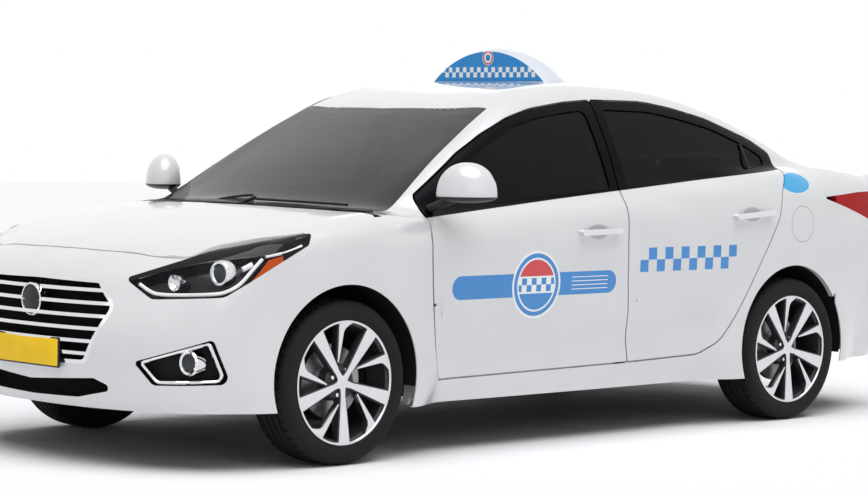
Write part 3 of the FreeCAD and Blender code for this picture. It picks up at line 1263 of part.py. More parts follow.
def knuckle():
    """Left front knuckle with its spindle and strut, turning about the kingpin line."""
    low, top = kingpin_point(0.0), kingpin_point(1.0)
    axis = (top - low).normalize()
    boss = rod(low - axis * (BALL_HEIGHT / 2), low + axis * (BALL_HEIGHT / 2), BALL_BOSS)
    carrier_y = HUB_FACE + HUB_CLEARANCE
    centre = Vector(X_FRONT_AXLE, carrier_y, WHEEL_RADIUS)
    carrier = rod(centre, centre + Vector(0, CARRIER_DEPTH, 0), CARRIER_RADIUS)
    spindle = rod(Vector(X_FRONT_AXLE, SPINDLE_END, WHEEL_RADIUS), centre, SPINDLE_RADIUS)
    strut_low = Vector(X_FRONT_AXLE, -STRUT_SHARES[0][0] * HALF_WIDTH, STRUT_SHARES[0][1] * ROOF_HEIGHT)
    strut_top = Vector(X_FRONT_AXLE, -STRUT_SHARES[1][0] * HALF_WIDTH, STRUT_SHARES[1][1] * ROOF_HEIGHT)
    strut = rod(strut_low, strut_top, STRUT_RADIUS)
    upper = rod(centre + Vector(0, CARRIER_DEPTH / 2, 0), strut_low + (strut_top - strut_low) * STRUT_FOOT_SHARE, BALL_BOSS)
    lower = rod(centre + Vector(0, CARRIER_DEPTH / 2, 0), low + axis * BALL_HEIGHT, BALL_BOSS)
    pin = rod(top - axis * TOP_PIN_LENGTH, top + axis * (TOP_PIN * PIN_OVER_SHARE), TOP_PIN)
    bore = rod(low - axis * BALL_HEIGHT, low + axis * BALL_HEIGHT, BALL_RADIUS + RUNNING_GAP)
    return carrier.fuse([spindle, strut, upper, lower, boss, pin]).cut(bore)


SUBFRAME_SHARES = {"x": (-0.66, -0.53), "z": (0.118, 0.166)}
MOUNT_RADIUS = 22.0
ARM_THICK = 20.0
ARM_TIP_HALF = 20.0
ARM_ROUND = 18.0
ARM_REAR_INSET = 30.0
BALL_PIN_SHARE = 0.4
MOUNT_INSET = 33.0


def subframe():
    """Cross beam with the lower arms and their ball pins."""
    x0, x1 = [share * HALF_LENGTH for share in SUBFRAME_SHARES["x"]]
    half = HOUSE_INNER_FRONT
    z0, z1 = [share * ROOF_HEIGHT for share in SUBFRAME_SHARES["z"]]
    beam = box(x0, x1, -half, half, z0, z1)
    ball = kingpin_point(0.0)
    axis = (kingpin_point(1.0) - ball).normalize()
    arm_top = ball.z - BALL_HEIGHT / 2 - BALL_BOSS / 2
    corners = [(x0, -half, 0.0), (x1 - ARM_REAR_INSET, -half, 0.0), (X_FRONT_AXLE + ARM_TIP_HALF, ball.y, ARM_ROUND),
               (X_FRONT_AXLE - ARM_TIP_HALF, ball.y - ARM_TIP_HALF, ARM_ROUND)]
    arm = plan_prism(corners, arm_top - ARM_THICK, arm_top)
    pin = rod(ball - axis * (BALL_HEIGHT / 2 + ARM_THICK), ball + axis * (BALL_HEIGHT * BALL_PIN_SHARE), BALL_RADIUS)
    mounts = []
    for x in (x0 + MOUNT_INSET, x1 - MOUNT_INSET):
        foot = Vector(x, RAIL_WIDTH / 2 - half, z1)
        mounts += both(rod(foot, Vector(foot.x, foot.y, RAIL_LOW_SHARE * ROOF_HEIGHT), MOUNT_RADIUS))
    return fused([beam] + both(arm.fuse(pin)) + mounts)


ENGINE_SHARES = {"x": (-0.84, -0.515), "half": 0.42, "top": 0.525}


def engine_block():
    x0, x1 = [share * HALF_LENGTH for share in ENGINE_SHARES["x"]]
    half = ENGINE_SHARES["half"] * HALF_WIDTH
    low = SUBFRAME_SHARES["z"][1] * ROOF_HEIGHT
    return box(x0, x1, -half, half, low, ENGINE_SHARES["top"] * ROOF_HEIGHT)


REAR_ARM_SHARES = {"pivot_x": 0.30, "pivot_y": 0.60, "pivot_z": 0.175}
REAR_BEAM_RADIUS = 34.0
REAR_BEAM_SHARE = 0.35
REAR_ARM_RADIUS = 24.0
REAR_ARM_GAP = 18.0
DAMPER_RADIUS = 24.0


def rear_axle():
    """Torsion beam with trailing arms, stub axles and dampers."""
    pivot = Vector(REAR_ARM_SHARES["pivot_x"] * HALF_LENGTH, -REAR_ARM_SHARES["pivot_y"] * HALF_WIDTH,
                   REAR_ARM_SHARES["pivot_z"] * ROOF_HEIGHT)
    arm_y = -WHEEL_Y + TYRE_WIDTH / 2 + REAR_ARM_GAP + REAR_ARM_RADIUS
    centre = Vector(X_REAR_AXLE, HUB_FACE + HUB_CLEARANCE, WHEEL_RADIUS)
    inner = Vector(X_REAR_AXLE, arm_y + REAR_ARM_RADIUS / 2, WHEEL_RADIUS)
    arm_end = Vector(X_REAR_AXLE - REAR_ARM_RADIUS, arm_y, WHEEL_RADIUS)
    arm = rod(pivot, arm_end, REAR_ARM_RADIUS)
    carrier = rod(centre, inner, CARRIER_RADIUS)
    spindle = rod(Vector(X_REAR_AXLE, SPINDLE_END, WHEEL_RADIUS), centre, SPINDLE_RADIUS)
    seat = FLOOR_SHARES[4][1] * ROOF_HEIGHT - FLOOR_SHEET
    mount = box(pivot.x - REAR_ARM_RADIUS, pivot.x + REAR_ARM_RADIUS, pivot.y - REAR_ARM_RADIUS,
                pivot.y + REAR_ARM_RADIUS, pivot.z, seat)
    foot = Vector(X_REAR_AXLE, arm_y, WHEEL_RADIUS)
    damper = rod(foot, Vector(foot.x, foot.y, ARCH_Z + HOUSE_RADIUS), DAMPER_RADIUS)
    damper = damper.common(rod(Vector(X_REAR_AXLE, -WIDTH, ARCH_Z), Vector(X_REAR_AXLE, WIDTH, ARCH_Z), HOUSE_RADIUS))
    middle = pivot + (arm_end - pivot) * REAR_BEAM_SHARE
    beam = rod(middle, Vector(middle.x, -middle.y, middle.z), REAR_BEAM_RADIUS)
    side = fused([arm, carrier, spindle, mount, damper])
    return fused([beam] + both(side))


TANK_SHARES = {"x": (0.225, 0.355), "half": 0.42, "low": 0.125}
TANK_ROUND = 25.0
PIPE_RADIUS = 24.0
PIPE_BEND = 90.0
EXHAUST_SHARES = [(-0.515, 0.0, 0.207), (-0.470, 0.0, 0.207), (-0.425, 0.0, 0.116), (0.140, 0.0, 0.116),
                  (0.205, 0.500, 0.116), (0.590, 0.500, 0.116), (0.690, 0.500, 0.195), (0.780, 0.500, 0.195)]
TAIL_PIPE_SHARES = [(0.815, 0.60, 0.185), (0.865, 0.60, 0.185), (0.915, 0.60, 0.135)]
MUFFLER_SHARES = {"x": 0.815, "y": (0.15, 0.68), "z": 0.195}
HANGER_RADIUS = 7.0
MUFFLER_RADIUS = 78.0


def fuel_tank():
    x0, x1 = [share * HALF_LENGTH for share in TANK_SHARES["x"]]
    half = TANK_SHARES["half"] * HALF_WIDTH
    seat = FLOOR_SHARES[4][1] * ROOF_HEIGHT - FLOOR_SHEET
    tank = box(x0, x1, -half, half, TANK_SHARES["low"] * ROOF_HEIGHT, seat)
    low_edges = [e for e in tank.Edges if e.BoundBox.ZMax < TANK_SHARES["low"] * ROOF_HEIGHT + ROOT_STEP]
    return tank.makeFillet(TANK_ROUND, low_edges)


def bent_pipe(points, radius, bend):
    """Pipe along straight runs joined by tangent arcs."""
    edges = []
    start = points[0]
    for before, corner, after in zip(points, points[1:], points[2:]):
        back, on = before - corner, after - corner
        half = back.getAngle(on) / 2
        reach = min(bend / math.tan(half), 0.45 * back.Length, 0.45 * on.Length)
        turn = reach * math.tan(half)
        back, on = back.normalize(), on.normalize()
        first, last = corner + back * reach, corner + on * reach
        middle = corner + (back + on).normalize() * (turn / math.sin(half) - turn)
        edges += [Part.makeLine(start, first), Part.Arc(first, middle, last).toShape()]
        start = last
    edges.append(Part.makeLine(start, points[-1]))
    profile = Part.Wire([Part.makeCircle(radius, points[0], points[1] - points[0])])
    return Part.Wire(edges).makePipeShell([profile], True, False)


def in_car(shares):
    """Points in millimetres from shares of half length, half width and roof height."""
    return [Vector(x * HALF_LENGTH, y * HALF_WIDTH, z * ROOF_HEIGHT) for x, y, z in shares]


def exhaust():
    """Pipe under the tunnel and past the tank to a crosswise silencer with its tail pipe."""
    x = MUFFLER_SHARES["x"] * HALF_LENGTH
    y0, y1 = [share * HALF_WIDTH for share in MUFFLER_SHARES["y"]]
    z = MUFFLER_SHARES["z"] * ROOF_HEIGHT
    can = rod(Vector(x, y0, z), Vector(x, y1, z), MUFFLER_RADIUS)
    pipe = bent_pipe(in_car(EXHAUST_SHARES), PIPE_RADIUS, PIPE_BEND)
    tail = bent_pipe(in_car(TAIL_PIPE_SHARES), PIPE_RADIUS, PIPE_BEND)
    seat = FLOOR_SHARES[6][1] * ROOF_HEIGHT - FLOOR_SHEET
    hangers = [rod(Vector(x, y, z), Vector(x, y, seat), HANGER_RADIUS) for y in (y0 + MUFFLER_RADIUS, y1 - MUFFLER_RADIUS)]
    return fused([can, pipe, tail] + hangers)


# Cabin

DASH_SHARES = [(-0.456, 0.40), (-0.456, 0.62), (-0.36, 0.640), (-0.300, 0.628), (-0.270, 0.585), (-0.285, 0.52),
               (-0.330, 0.46), (-0.36, 0.40)]
DASH_HALF_SHARE = 0.80
DASH_ROUND_SHARE = 0.012
WHEEL_CENTRE_SHARES = (-0.232, -0.43, 0.590)
WHEEL_TILT = 25.0
STEER_RADIUS = 182.0
STEER_GRIP = 15.0
STEER_SPOKE_SHARE = 0.85
STEER_HUB = 52.0
COLUMN_RADIUS = 17.0
COLUMN_LENGTH = 200.0
STUB_RADIUS = 8.5
STUB_GAP = 3.4


def dashboard():
    """Dashboard across the car with the steering column's stub."""
    half = DASH_HALF_SHARE * HALF_WIDTH
    corners = [(x * HALF_LENGTH, z * ROOF_HEIGHT, DASH_ROUND_SHARE * ROOF_HEIGHT) for x, z in DASH_SHARES]
    panel = carved(side_prism(corners, -half, half), both(outside(POST_END)))
    centre, way = steering_axis()
    column = rod(centre - way * COLUMN_LENGTH, centre, COLUMN_RADIUS)
    stub = rod(centre - way * OVERRUN, centre + way * STUB_RADIUS, STUB_RADIUS)
    end = rod(centre - way * (COLUMN_RADIUS + STUB_GAP), centre + way, COLUMN_RADIUS + STUB_RADIUS)
    return panel.fuse([column.cut(end), stub])


def steering_axis():
    x, y, z = WHEEL_CENTRE_SHARES
    tilt = math.radians(WHEEL_TILT)
    return (Vector(x * HALF_LENGTH, y * HALF_WIDTH, z * ROOF_HEIGHT), Vector(math.cos(tilt), 0, math.sin(tilt)))


def steering_wheel():
    centre, way = steering_axis()
    ring = Part.makeTorus(STEER_RADIUS, STEER_GRIP, centre, way)
    hub = rod(centre - way * COLUMN_RADIUS, centre + way * COLUMN_RADIUS, STEER_HUB)
    side = Y_AXIS
    up = way.cross(side)
    spokes = []
    for direction in (side, side * -1, up * -1 if up.z > 0 else up):
        spokes.append(rod(centre, centre + direction * STEER_RADIUS, STEER_GRIP * STEER_SPOKE_SHARE))
    bore_radius = STUB_RADIUS + RUNNING_GAP
    bore = rod(centre - way * STEER_HUB, centre + way * bore_radius, bore_radius)
    return ring.fuse(spokes + [hub]).cut(bore)


SEAT_SHARES = [(-0.135, 0.300), (-0.150, 0.345), (-0.130, 0.380), (0.035, 0.352), (0.065, 0.37), (0.150, 0.720),
               (0.195, 0.735), (0.215, 0.700), (0.140, 0.345), (0.090, 0.270), (-0.06, 0.270)]
HEADREST_SHARES = [(0.158, 0.752), (0.166, 0.855), (0.190, 0.872), (0.215, 0.850), (0.205, 0.752)]
SEAT_HALF_WIDTH = 255.0
SEAT_CENTRE_SHARE = 0.43
HEADREST_HALF = 125.0
POST_RADIUS = 7.0
SEAT_ROUND_SHARE = 0.022
SEAT_BASE_SHARES = {"x": (-0.11, 0.09), "top": 0.29, "spread": 0.75}
REST_POST_SHARES = {"x": 0.185, "z": (0.70, 0.79)}
BENCH_SHARES = [(0.225, 0.232), (0.205, 0.335), (0.225, 0.362), (0.405, 0.330), (0.435, 0.345), (0.535, 0.655),
                (0.575, 0.660), (0.580, 0.630), (0.470, 0.292), (0.425, 0.232)]
BENCH_HALF_SHARE = 0.72


def seat_block(shares, y0, y1):
    corners = [(x * HALF_LENGTH, z * ROOF_HEIGHT, SEAT_ROUND_SHARE * ROOF_HEIGHT) for x, z in shares]
    return side_prism(corners, y0, y1)


def front_seats():
    centre = SEAT_CENTRE_SHARE * HALF_WIDTH
    seats = []
    for y in (-centre, centre):
        seat = seat_block(SEAT_SHARES, y - SEAT_HALF_WIDTH, y + SEAT_HALF_WIDTH)
        rest = seat_block(HEADREST_SHARES, y - HEADREST_HALF, y + HEADREST_HALF)
        posts = []
        x = REST_POST_SHARES["x"] * HALF_LENGTH
        low, high = [share * ROOF_HEIGHT for share in REST_POST_SHARES["z"]]
        for offset in (-HEADREST_HALF / 2, HEADREST_HALF / 2):
            posts.append(rod(Vector(x, y + offset, low), Vector(x, y + offset, high), POST_RADIUS))
        x0, x1 = [share * HALF_LENGTH for share in SEAT_BASE_SHARES["x"]]
        floor_z = FLOOR_SHARES[3][1] * ROOF_HEIGHT
        rail_z = SEAT_BASE_SHARES["top"] * ROOF_HEIGHT
        spread = SEAT_HALF_WIDTH * SEAT_BASE_SHARES["spread"]
        rails = [box(x0, x1, y + k - FLOOR_SHEET, y + k + FLOOR_SHEET, floor_z, rail_z) for k in (-spread, spread)]
        seats.append(seat.fuse([rest] + posts + rails))
    return Part.makeCompound(seats)


def rear_seat():
    half = BENCH_HALF_SHARE * HALF_WIDTH
    bench = seat_block(BENCH_SHARES, -half, half)
    bench = carved(bench, both(house_rod(X_REAR_AXLE, HOUSE_INNER_REAR)) + [floor_pan()])
    return max(bench.Solids, key=lambda part: part.Volume)


# Lid, hood and their hinges

HOOD_HINGE_SHARES = (-0.529, 0.755)
HOOD_HINGE_DROP = 34.0
LID_HINGE_SHARES = {"x": 0.7147, "y": 0.347, "z": 0.7795}
LID_NECK_OUTER = 70.0
LID_NECK_INNER = 56.0
LID_NECK_HALF = 8.0
LID_PIN = 4.0
LID_EYE = 9.0
LID_EYE_WIDTH = 22.0
COWL_DEPTH = 58.0
HOOD_ARM = 63.0
HOOD_ARM_HALF = 4.5
HOOD_ARM_ROOM = {"ahead": 27.0, "behind": 18.0}
PIN_REACH = 13.5
HOOD_REAR_SHARES = (-0.62, -0.45)


def hood_axis():
    x, y = HOOD_HINGE_SHARES[0] * HALF_LENGTH, -HOOD_HINGE_SHARES[1] * HALF_WIDTH
    return top_point(x, y, HOOD_HINGE_DROP)


def lid_axis():
    k = LID_HINGE_SHARES
    return Vector(k["x"] * HALF_LENGTH, -k["y"] * HALF_WIDTH, k["z"] * ROOF_HEIGHT)


def crosswise(point, half, radius):
    return rod(Vector(point.x, point.y - half, point.z), Vector(point.x, point.y + half, point.z), radius)


def hood_with_eyes():
    axis = hood_axis()
    eye = crosswise(axis, LID_EYE_WIDTH / 2, LID_EYE)
    tip = Vector(axis.x - HOOD_ARM, axis.y, axis.z)
    arm = box(tip.x, axis.x, axis.y - LID_EYE_WIDTH / 2, axis.y + LID_EYE_WIDTH / 2, axis.z - HOOD_ARM_HALF,
              axis.z + HOOD_HINGE_DROP)
    skin = hood()
    over = top_slab("hood rear", -ROOF_HEIGHT * BEYOND_SHARE, HOOD_THICKNESS * HOOD_LAP_SHARE)
    arm = arm.cut(over)
    rear = box(axis.x - HOOD_ARM_ROOM["ahead"], axis.x + HOOD_ARM_ROOM["behind"], axis.y - LID_EYE_WIDTH,
               axis.y + LID_EYE_WIDTH, axis.z + HOOD_ARM_HALF, axis.z + HOOD_HINGE_DROP + HOOD_HINGE_DROP)
    arm = arm.cut(rear.common(whole_rear_of_hood()))
    bore = crosswise(axis, LID_EYE_WIDTH, LID_PIN + RUNNING_GAP)
    return carved(fused([skin] + both(eye.fuse(arm))), both(bore))


def whole_rear_of_hood():
    x0, x1 = [share * HALF_LENGTH for share in HOOD_REAR_SHARES]
    zone = box(x0, x1, -WIDTH, WIDTH, 0.0, 2 * ROOF_HEIGHT)
    return zone.cut(whole_plan(HOOD_PLAN_SHARES, HALF_GAP))


def lid_neck():
    """Curved neck from the lid's underside round the rear window's lower edge to an eye on the axis."""
    axis = lid_axis()
    side = LID_EYE_WIDTH / 2
    ring = crosswise(axis, side, LID_NECK_OUTER).cut(crosswise(axis, LID_EYE_WIDTH, LID_NECK_INNER))
    quarter = box(axis.x - LID_NECK_HALF, axis.x + LID_NECK_OUTER, axis.y - side, axis.y + side,
                  axis.z - LID_NECK_OUTER, axis.z)
    bar = box(axis.x - LID_NECK_HALF, axis.x + LID_NECK_HALF, axis.y - side, axis.y + side,
              axis.z - LID_NECK_INNER - LID_NECK_HALF, axis.z)
    return fused([ring.common(quarter), bar, crosswise(axis, side, LID_EYE)])


def lid_with_eyes():
    bore = crosswise(lid_axis(), LID_EYE_WIDTH, LID_PIN + RUNNING_GAP)
    return carved(fused([trunk_lid()] + both(lid_neck())), both(bore))


def cowl_layer(outer, inner):
    return top_slab("cowl", outer, inner)


def cowl_panel():
    """Gutter below the windscreen's base, seated on the firewall, with the hood's hinge pins standing on it."""
    panel = cowl_layer(COWL_DEPTH, COWL_DEPTH + SHEET)
    panel = carved(panel, both(outside(JAMB_END)))
    axis = hood_axis()
    half = LID_EYE_WIDTH / 2
    pin = rod(Vector(axis.x, axis.y - half, axis.z), Vector(axis.x, axis.y + half + PIN_REACH, axis.z), LID_PIN)
    low = top_point(axis.x, axis.y + half + LID_EYE, COWL_DEPTH + SHEET / 2).z
    plate = box(axis.x - LID_EYE, axis.x + LID_EYE, axis.y + half + HINGE_SIDE_GAP, axis.y + half + LID_EYE, low,
                axis.z + LID_EYE)
    return fused([panel] + both(pin.fuse(plate)))


SHELF_SHARES = {"x": (0.545, 0.735), "z": 0.665, "half": 0.98}


def parcel_shelf():
    """Shelf under the rear window with the boot lid's hinge pins."""
    x0, x1 = [share * HALF_LENGTH for share in SHELF_SHARES["x"]]
    z = SHELF_SHARES["z"] * ROOF_HEIGHT
    half = SHELF_SHARES["half"] * HALF_WIDTH
    plate = box(x0, x1, -half, half, z, z + FLOOR_SHEET)
    front = outside(JAMB_END).common(crosswise_band(0.0, x0 + JAMB_END))
    plate = carved(plate, both(outside(JAMB_START + JAMB_LAP)) + both(front) + both(taillamp()))
    axis = lid_axis()
    side = LID_EYE_WIDTH / 2
    pin = rod(Vector(axis.x, axis.y - side, axis.z), Vector(axis.x, axis.y + side + PIN_REACH, axis.z), LID_PIN)
    stand = box(axis.x - LID_PIN, axis.x + LID_PIN, axis.y + side + HINGE_SIDE_GAP, axis.y + side + LID_EYE, z,
                axis.z + LID_PIN)
    return fused([plate] + both(pin.fuse(stand)))


def export(name, shape):
    shape.exportStep("parts/" + name + ".step")
    print(name, shape.isValid(), len(shape.Solids), round(shape.Volume / 1e6, 2))


def side_pair(name, shape):
    export(name + "_left", shape)
    export(name + "_right", mirrored(shape))


def main():
    os.makedirs("parts", exist_ok=True)
    side_pair("body_side", body_side())
    side_pair("door_front", door("front"))
    side_pair("door_rear", door("rear"))
    side_pair("window_front", door_window("front"))
    side_pair("window_rear", door_window("rear"))
    side_pair("mirror", mirror())
    side_pair("fender", fender())
    export("front_bumper", front_bumper())
    export("grille", grille())
    export("headlamps", Part.makeCompound(both(headlamp())))
    export("fog_lamps", Part.makeCompound(both(fog_lamp())))
    export("front_structure", front_structure())
    export("hood", hood_with_eyes())
    export("cowl_panel", cowl_panel())
    export("windscreen", windscreen())
    export("roof_panel", roof_panel())
    export("rear_window", rear_window())
    export("trunk_lid", lid_with_eyes())
    export("parcel_shelf", parcel_shelf())
    export("taillamps", Part.makeCompound(both(taillamp())))
    export("rear_bumper", rear_bumper())
    export("roof_sign", roof_sign())
    export("floor_pan", floor_pan())
    export("wheel_liners", Part.makeCompound(both(front_liner()) + both(rear_liner())))
    side_pair("knuckle", knuckle())
    export("subframe", subframe())
    export("engine_block", engine_block())
    export("rear_axle", rear_axle())
    export("fuel_tank", fuel_tank())
    export("exhaust", exhaust())
    export("dashboard", dashboard())
    export("steering_wheel", steering_wheel())
    export("front_seats", front_seats())
    export("rear_seat", rear_seat())
    for place, x in (("front", X_FRONT_AXLE), ("rear", X_REAR_AXLE)):
        side_pair("tyre_" + place, tyre(x))
        side_pair("rim_" + place, rim(x))


if __name__ == "__main__":
    main()
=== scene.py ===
import math

import bmesh
import bpy
from mathutils import Matrix, Vector
from mathutils.bvhtree import BVHTree


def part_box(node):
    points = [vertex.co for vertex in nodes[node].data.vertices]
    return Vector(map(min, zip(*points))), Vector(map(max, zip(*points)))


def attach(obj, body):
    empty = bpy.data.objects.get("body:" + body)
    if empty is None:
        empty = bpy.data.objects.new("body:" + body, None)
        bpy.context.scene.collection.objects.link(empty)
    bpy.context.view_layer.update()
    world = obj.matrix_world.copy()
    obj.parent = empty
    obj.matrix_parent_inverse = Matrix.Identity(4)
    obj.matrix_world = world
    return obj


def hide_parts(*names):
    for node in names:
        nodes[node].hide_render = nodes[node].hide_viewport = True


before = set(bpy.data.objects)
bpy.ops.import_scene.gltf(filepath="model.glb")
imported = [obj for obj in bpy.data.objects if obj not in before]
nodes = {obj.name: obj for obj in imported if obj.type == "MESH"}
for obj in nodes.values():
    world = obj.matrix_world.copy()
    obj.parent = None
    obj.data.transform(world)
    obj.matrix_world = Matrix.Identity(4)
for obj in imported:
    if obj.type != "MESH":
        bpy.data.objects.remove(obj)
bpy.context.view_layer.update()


class Flow:
    # wraps a socket, so that maths on materials reads as plain sums
    def __init__(self, look, socket):
        self.look, self.socket = look, socket

    def maths(self, operation, other=0.0, clamp=False):
        return self.look.maths(operation, self, other, clamp)

    def __add__(self, other):
        return self.maths("ADD", other)

    def __radd__(self, other):
        return self.maths("ADD", other)

    def __sub__(self, other):
        return self.maths("SUBTRACT", other)

    def __rsub__(self, other):
        return self.look.maths("SUBTRACT", other, self)

    def __mul__(self, other):
        return self.maths("MULTIPLY", other)

    def __rmul__(self, other):
        return self.maths("MULTIPLY", other)

    def __truediv__(self, other):
        return self.maths("DIVIDE", other)

    def __pow__(self, other):
        return self.maths("POWER", other)

    def __abs__(self):
        return self.maths("ABSOLUTE")

    def least(self, other):
        return self.maths("MINIMUM", other)

    def most(self, other):
        return self.maths("MAXIMUM", other)

    def held(self):
        # kept between 0 and 1
        return self.maths("ADD", 0.0, clamp=True)

    def above(self, edge, soft=0.001):
        # 0 below the edge and 1 above it, over a soft width
        return ((self - edge) / soft + 0.5).held()

    def below(self, edge, soft=0.001):
        return ((edge - self) / soft + 0.5).held()

    def within(self, low, high, soft=0.001):
        return self.above(low, soft) * self.below(high, soft)


class Look:
    # one material, made node by node
    def __init__(self, name):
        self.material = bpy.data.materials.new(name)
        self.material.use_nodes = True
        self.tree = self.material.node_tree
        self.tree.nodes.clear()
        self.end = self.node("ShaderNodeOutputMaterial")
        self.place = Flow(self, self.node("ShaderNodeTexCoord").outputs["Object"])
        cut = self.node("ShaderNodeSeparateXYZ", inputs={0: self.place})
        self.x, self.y, self.z = [Flow(self, cut.outputs[i]) for i in range(3)]

    def facing(self):
        # the surface's own direction, as three flows
        coord = self.node("ShaderNodeTexCoord")
        cut = self.node("ShaderNodeSeparateXYZ", inputs={0: coord.outputs["Normal"]})
        return [Flow(self, cut.outputs[i]) for i in range(3)]

    def node(self, kind, settings=None, inputs=None):
        made = self.tree.nodes.new(kind)
        for key, value in (settings or {}).items():
            setattr(made, key, value)
        for key, value in (inputs or {}).items():
            self.feed(made.inputs[key], value)
        return made

    def feed(self, socket, value):
        if isinstance(value, Flow):
            self.tree.links.new(value.socket, socket)
        elif isinstance(value, bpy.types.NodeSocket):
            self.tree.links.new(value, socket)
        elif value is not None:
            if socket.type == "RGBA" and len(value) == 3:
                value = (*value, 1.0)
            socket.default_value = value

    def maths(self, operation, first, second=0.0, clamp=False):
        settings = {"operation": operation, "use_clamp": clamp}
        made = self.node("ShaderNodeMath", settings, {0: first, 1: second})
        return Flow(self, made.outputs[0])

    def mix(self, mask, first, second):
        made = self.node("ShaderNodeMix", {"data_type": "RGBA"}, {0: mask, 6: first, 7: second})
        return Flow(self, made.outputs[2])

    def noise(self, scale, detail=3.0, stretch=(1, 1, 1)):
        spot = self.node("ShaderNodeMapping", inputs={0: self.place, "Scale": stretch})
        made = self.node("ShaderNodeTexNoise", inputs={"Vector": spot.outputs[0], "Scale": scale,
                                                       "Detail": detail})
        return Flow(self, made.outputs[0])

    def bump(self, height, distance, strength):
        made = self.node("ShaderNodeBump", inputs={"Height": height, "Distance": distance,
                                                   "Strength": strength})
        return Flow(self, made.outputs[0])

    def finish(self, **sockets):
        names = {"color": "Base Color", "metal": "Metallic", "rough": "Roughness", "coat": "Coat Weight",
                 "coatRough": "Coat Roughness", "normal": "Normal", "alpha": "Alpha", "ior": "IOR",
                 "sheen": "Sheen Weight", "specular": "Specular IOR Level"}
        shader = self.node("ShaderNodeBsdfPrincipled", inputs={names[k]: v for k, v in sockets.items()})
        self.tree.links.new(shader.outputs[0], self.end.inputs[0])
        return self.material


print("materials")

# the tone for the door handles' recesses is painted shade, darker than the body paint around it
paintTones = {"white": (0.72, 0.727, 0.737), "shade": (0.65, 0.66, 0.67), "black": (0.004, 0.004, 0.005),
              "trim": (0.055, 0.056, 0.06), "lining": (0.42, 0.41, 0.39), "blue": (0.0, 0.215, 0.60),
              "red": (0.62, 0.015, 0.02), "paper": (0.86, 0.87, 0.88), "chrome": (0.72, 0.73, 0.75),
              "cupShade": (0.42, 0.425, 0.435), "oval": (0.0, 0.36, 0.72), "seam": (0.30, 0.31, 0.32)}
paintSizes = {"cloud": 5.0, "flake": 1400.0, "rough": 0.24, "roughSpread": 0.10, "metal": 0.10,
              "metalSpread": 0.12, "coatRough": 0.03, "innerTurn": -0.25, "innerReach": 0.80,
              "innerRough": 0.85, "underTurn": -0.3, "underRough": 0.9, "grain": 260.0, "grainDeep": 0.00012,
              "grainStrength": 0.25}


def covered(mask, old, new):
    # new where the mask is 1, old elsewhere
    return old * (1 - mask) + mask * new


def paintLook(name, marks=(), inner="trim", down=None):
    # white two-layer paint; marks are (mask maker, colour, roughness, metal), laid one over another
    look, k = Look(name), paintSizes
    cloud = look.noise(k["cloud"], 2.0)
    flake = look.noise(k["flake"], 1.0)
    color = look.mix(cloud, paintTones["white"], paintTones["shade"])
    rough = k["rough"] + flake * k["roughSpread"]
    metal = k["metal"] + flake * k["metalSpread"]
    coat = 1.0
    for mask, tone, roughness, metallic in marks:
        cover = mask(look)
        color = look.mix(cover, color, paintTones[tone])
        rough = covered(cover, rough, roughness)
        metal = covered(cover, metal, metallic)
        if tone == "black":
            coat = coat * (1 - cover)
    nx, ny, nz = look.facing()
    if inner:
        side = look.y.above(0.0, 0.001) * 2 - 1
        back = (ny * side).below(k["innerTurn"], 0.05) * abs(look.y).below(k["innerReach"], 0.02)
        color = look.mix(back, color, paintTones[inner])
        rough = covered(back, rough, k["innerRough"])
        metal = metal * (1 - back)
        coat = coat * (1 - back)
    if down:
        under = nz.below(k["underTurn"], 0.05)
        color = look.mix(under, color, paintTones[down])
        rough = covered(under, rough, k["underRough"])
        metal = metal * (1 - under)
        coat = coat * (1 - under)
    skin = look.bump(look.noise(k["grain"], 2.0), k["grainDeep"], k["grainStrength"])
    return look.finish(color=color, rough=rough, metal=metal, coat=coat, coatRough=k["coatRough"],
                       normal=skin)


beltSizes = {"height": 0.9915, "slope": 0.0845, "bend": 0.0045, "front": -1.2}


def aboveBelt(look):
    # the windows' black surround, above their lower edge
    k = beltSizes
    belt = look.z - (look.x * k["slope"] - look.x * look.x * k["bend"] + k["height"])
    return belt.above(0.0, 0.001) * look.x.above(k["front"], 0.01)


markSizes = {"bandStart": -0.83, "bandEnd": 0.085, "bandZ": 0.640, "bandHalf": 0.046, "discX": -0.372,
             "discRadius": 0.124, "rim": 1.08, "ring": 0.86, "field": 0.80, "fieldGap": 0.034,
             "discCheck": 0.027, "lineStart": 0.20, "lineEnd": 0.05, "linePitch": 0.016, "lineShare": 0.10,
             "lineHalf": 0.032, "checkX": 0.225, "checkEnd": 0.825, "checkZ": 0.722, "checkSide": 0.05,
             "ovalX": 1.246, "ovalZ": 1.030, "ovalHalf": 0.098, "ovalHigh": 0.044, "ovalRim": 0.003,
             "flapX": 1.268, "flapZ": 0.852, "flapRadius": 0.078, "flapSeam": 0.0015, "edge": 0.0012}
# the cup spots and their reach place the painted shade of each handle's recess on the door
handleSizes = {"front": {"x": (-0.20, 0.12), "z": (0.80, 0.88), "cupShade": (-0.028, 0.842)},
               "rear": {"x": (0.76, 1.08), "z": (0.85, 0.95), "cupShade": (0.925, 0.899)},
               "cupShadeReach": (0.060, 0.030), "barY": 0.8685, "cupShadeY": 0.8675}


def reachFrom(look, x, z, reachX=1.0, reachZ=1.0):
    # distance on the car's side from a spot, in shares of two reaches
    across, up = (look.x - x) / reachX, (look.z - z) / reachZ
    return (across * across + up * up) ** 0.5


def bandMask(look):
    m = markSizes
    middle = (m["bandStart"] + m["bandEnd"]) / 2
    half = (m["bandEnd"] - m["bandStart"]) / 2 - m["bandHalf"]
    along = (abs(look.x - middle) - half).most(0.0)
    up = look.z - m["bandZ"]
    reach = (along * along + up * up) ** 0.5
    return reach.below(m["bandHalf"], m["edge"])


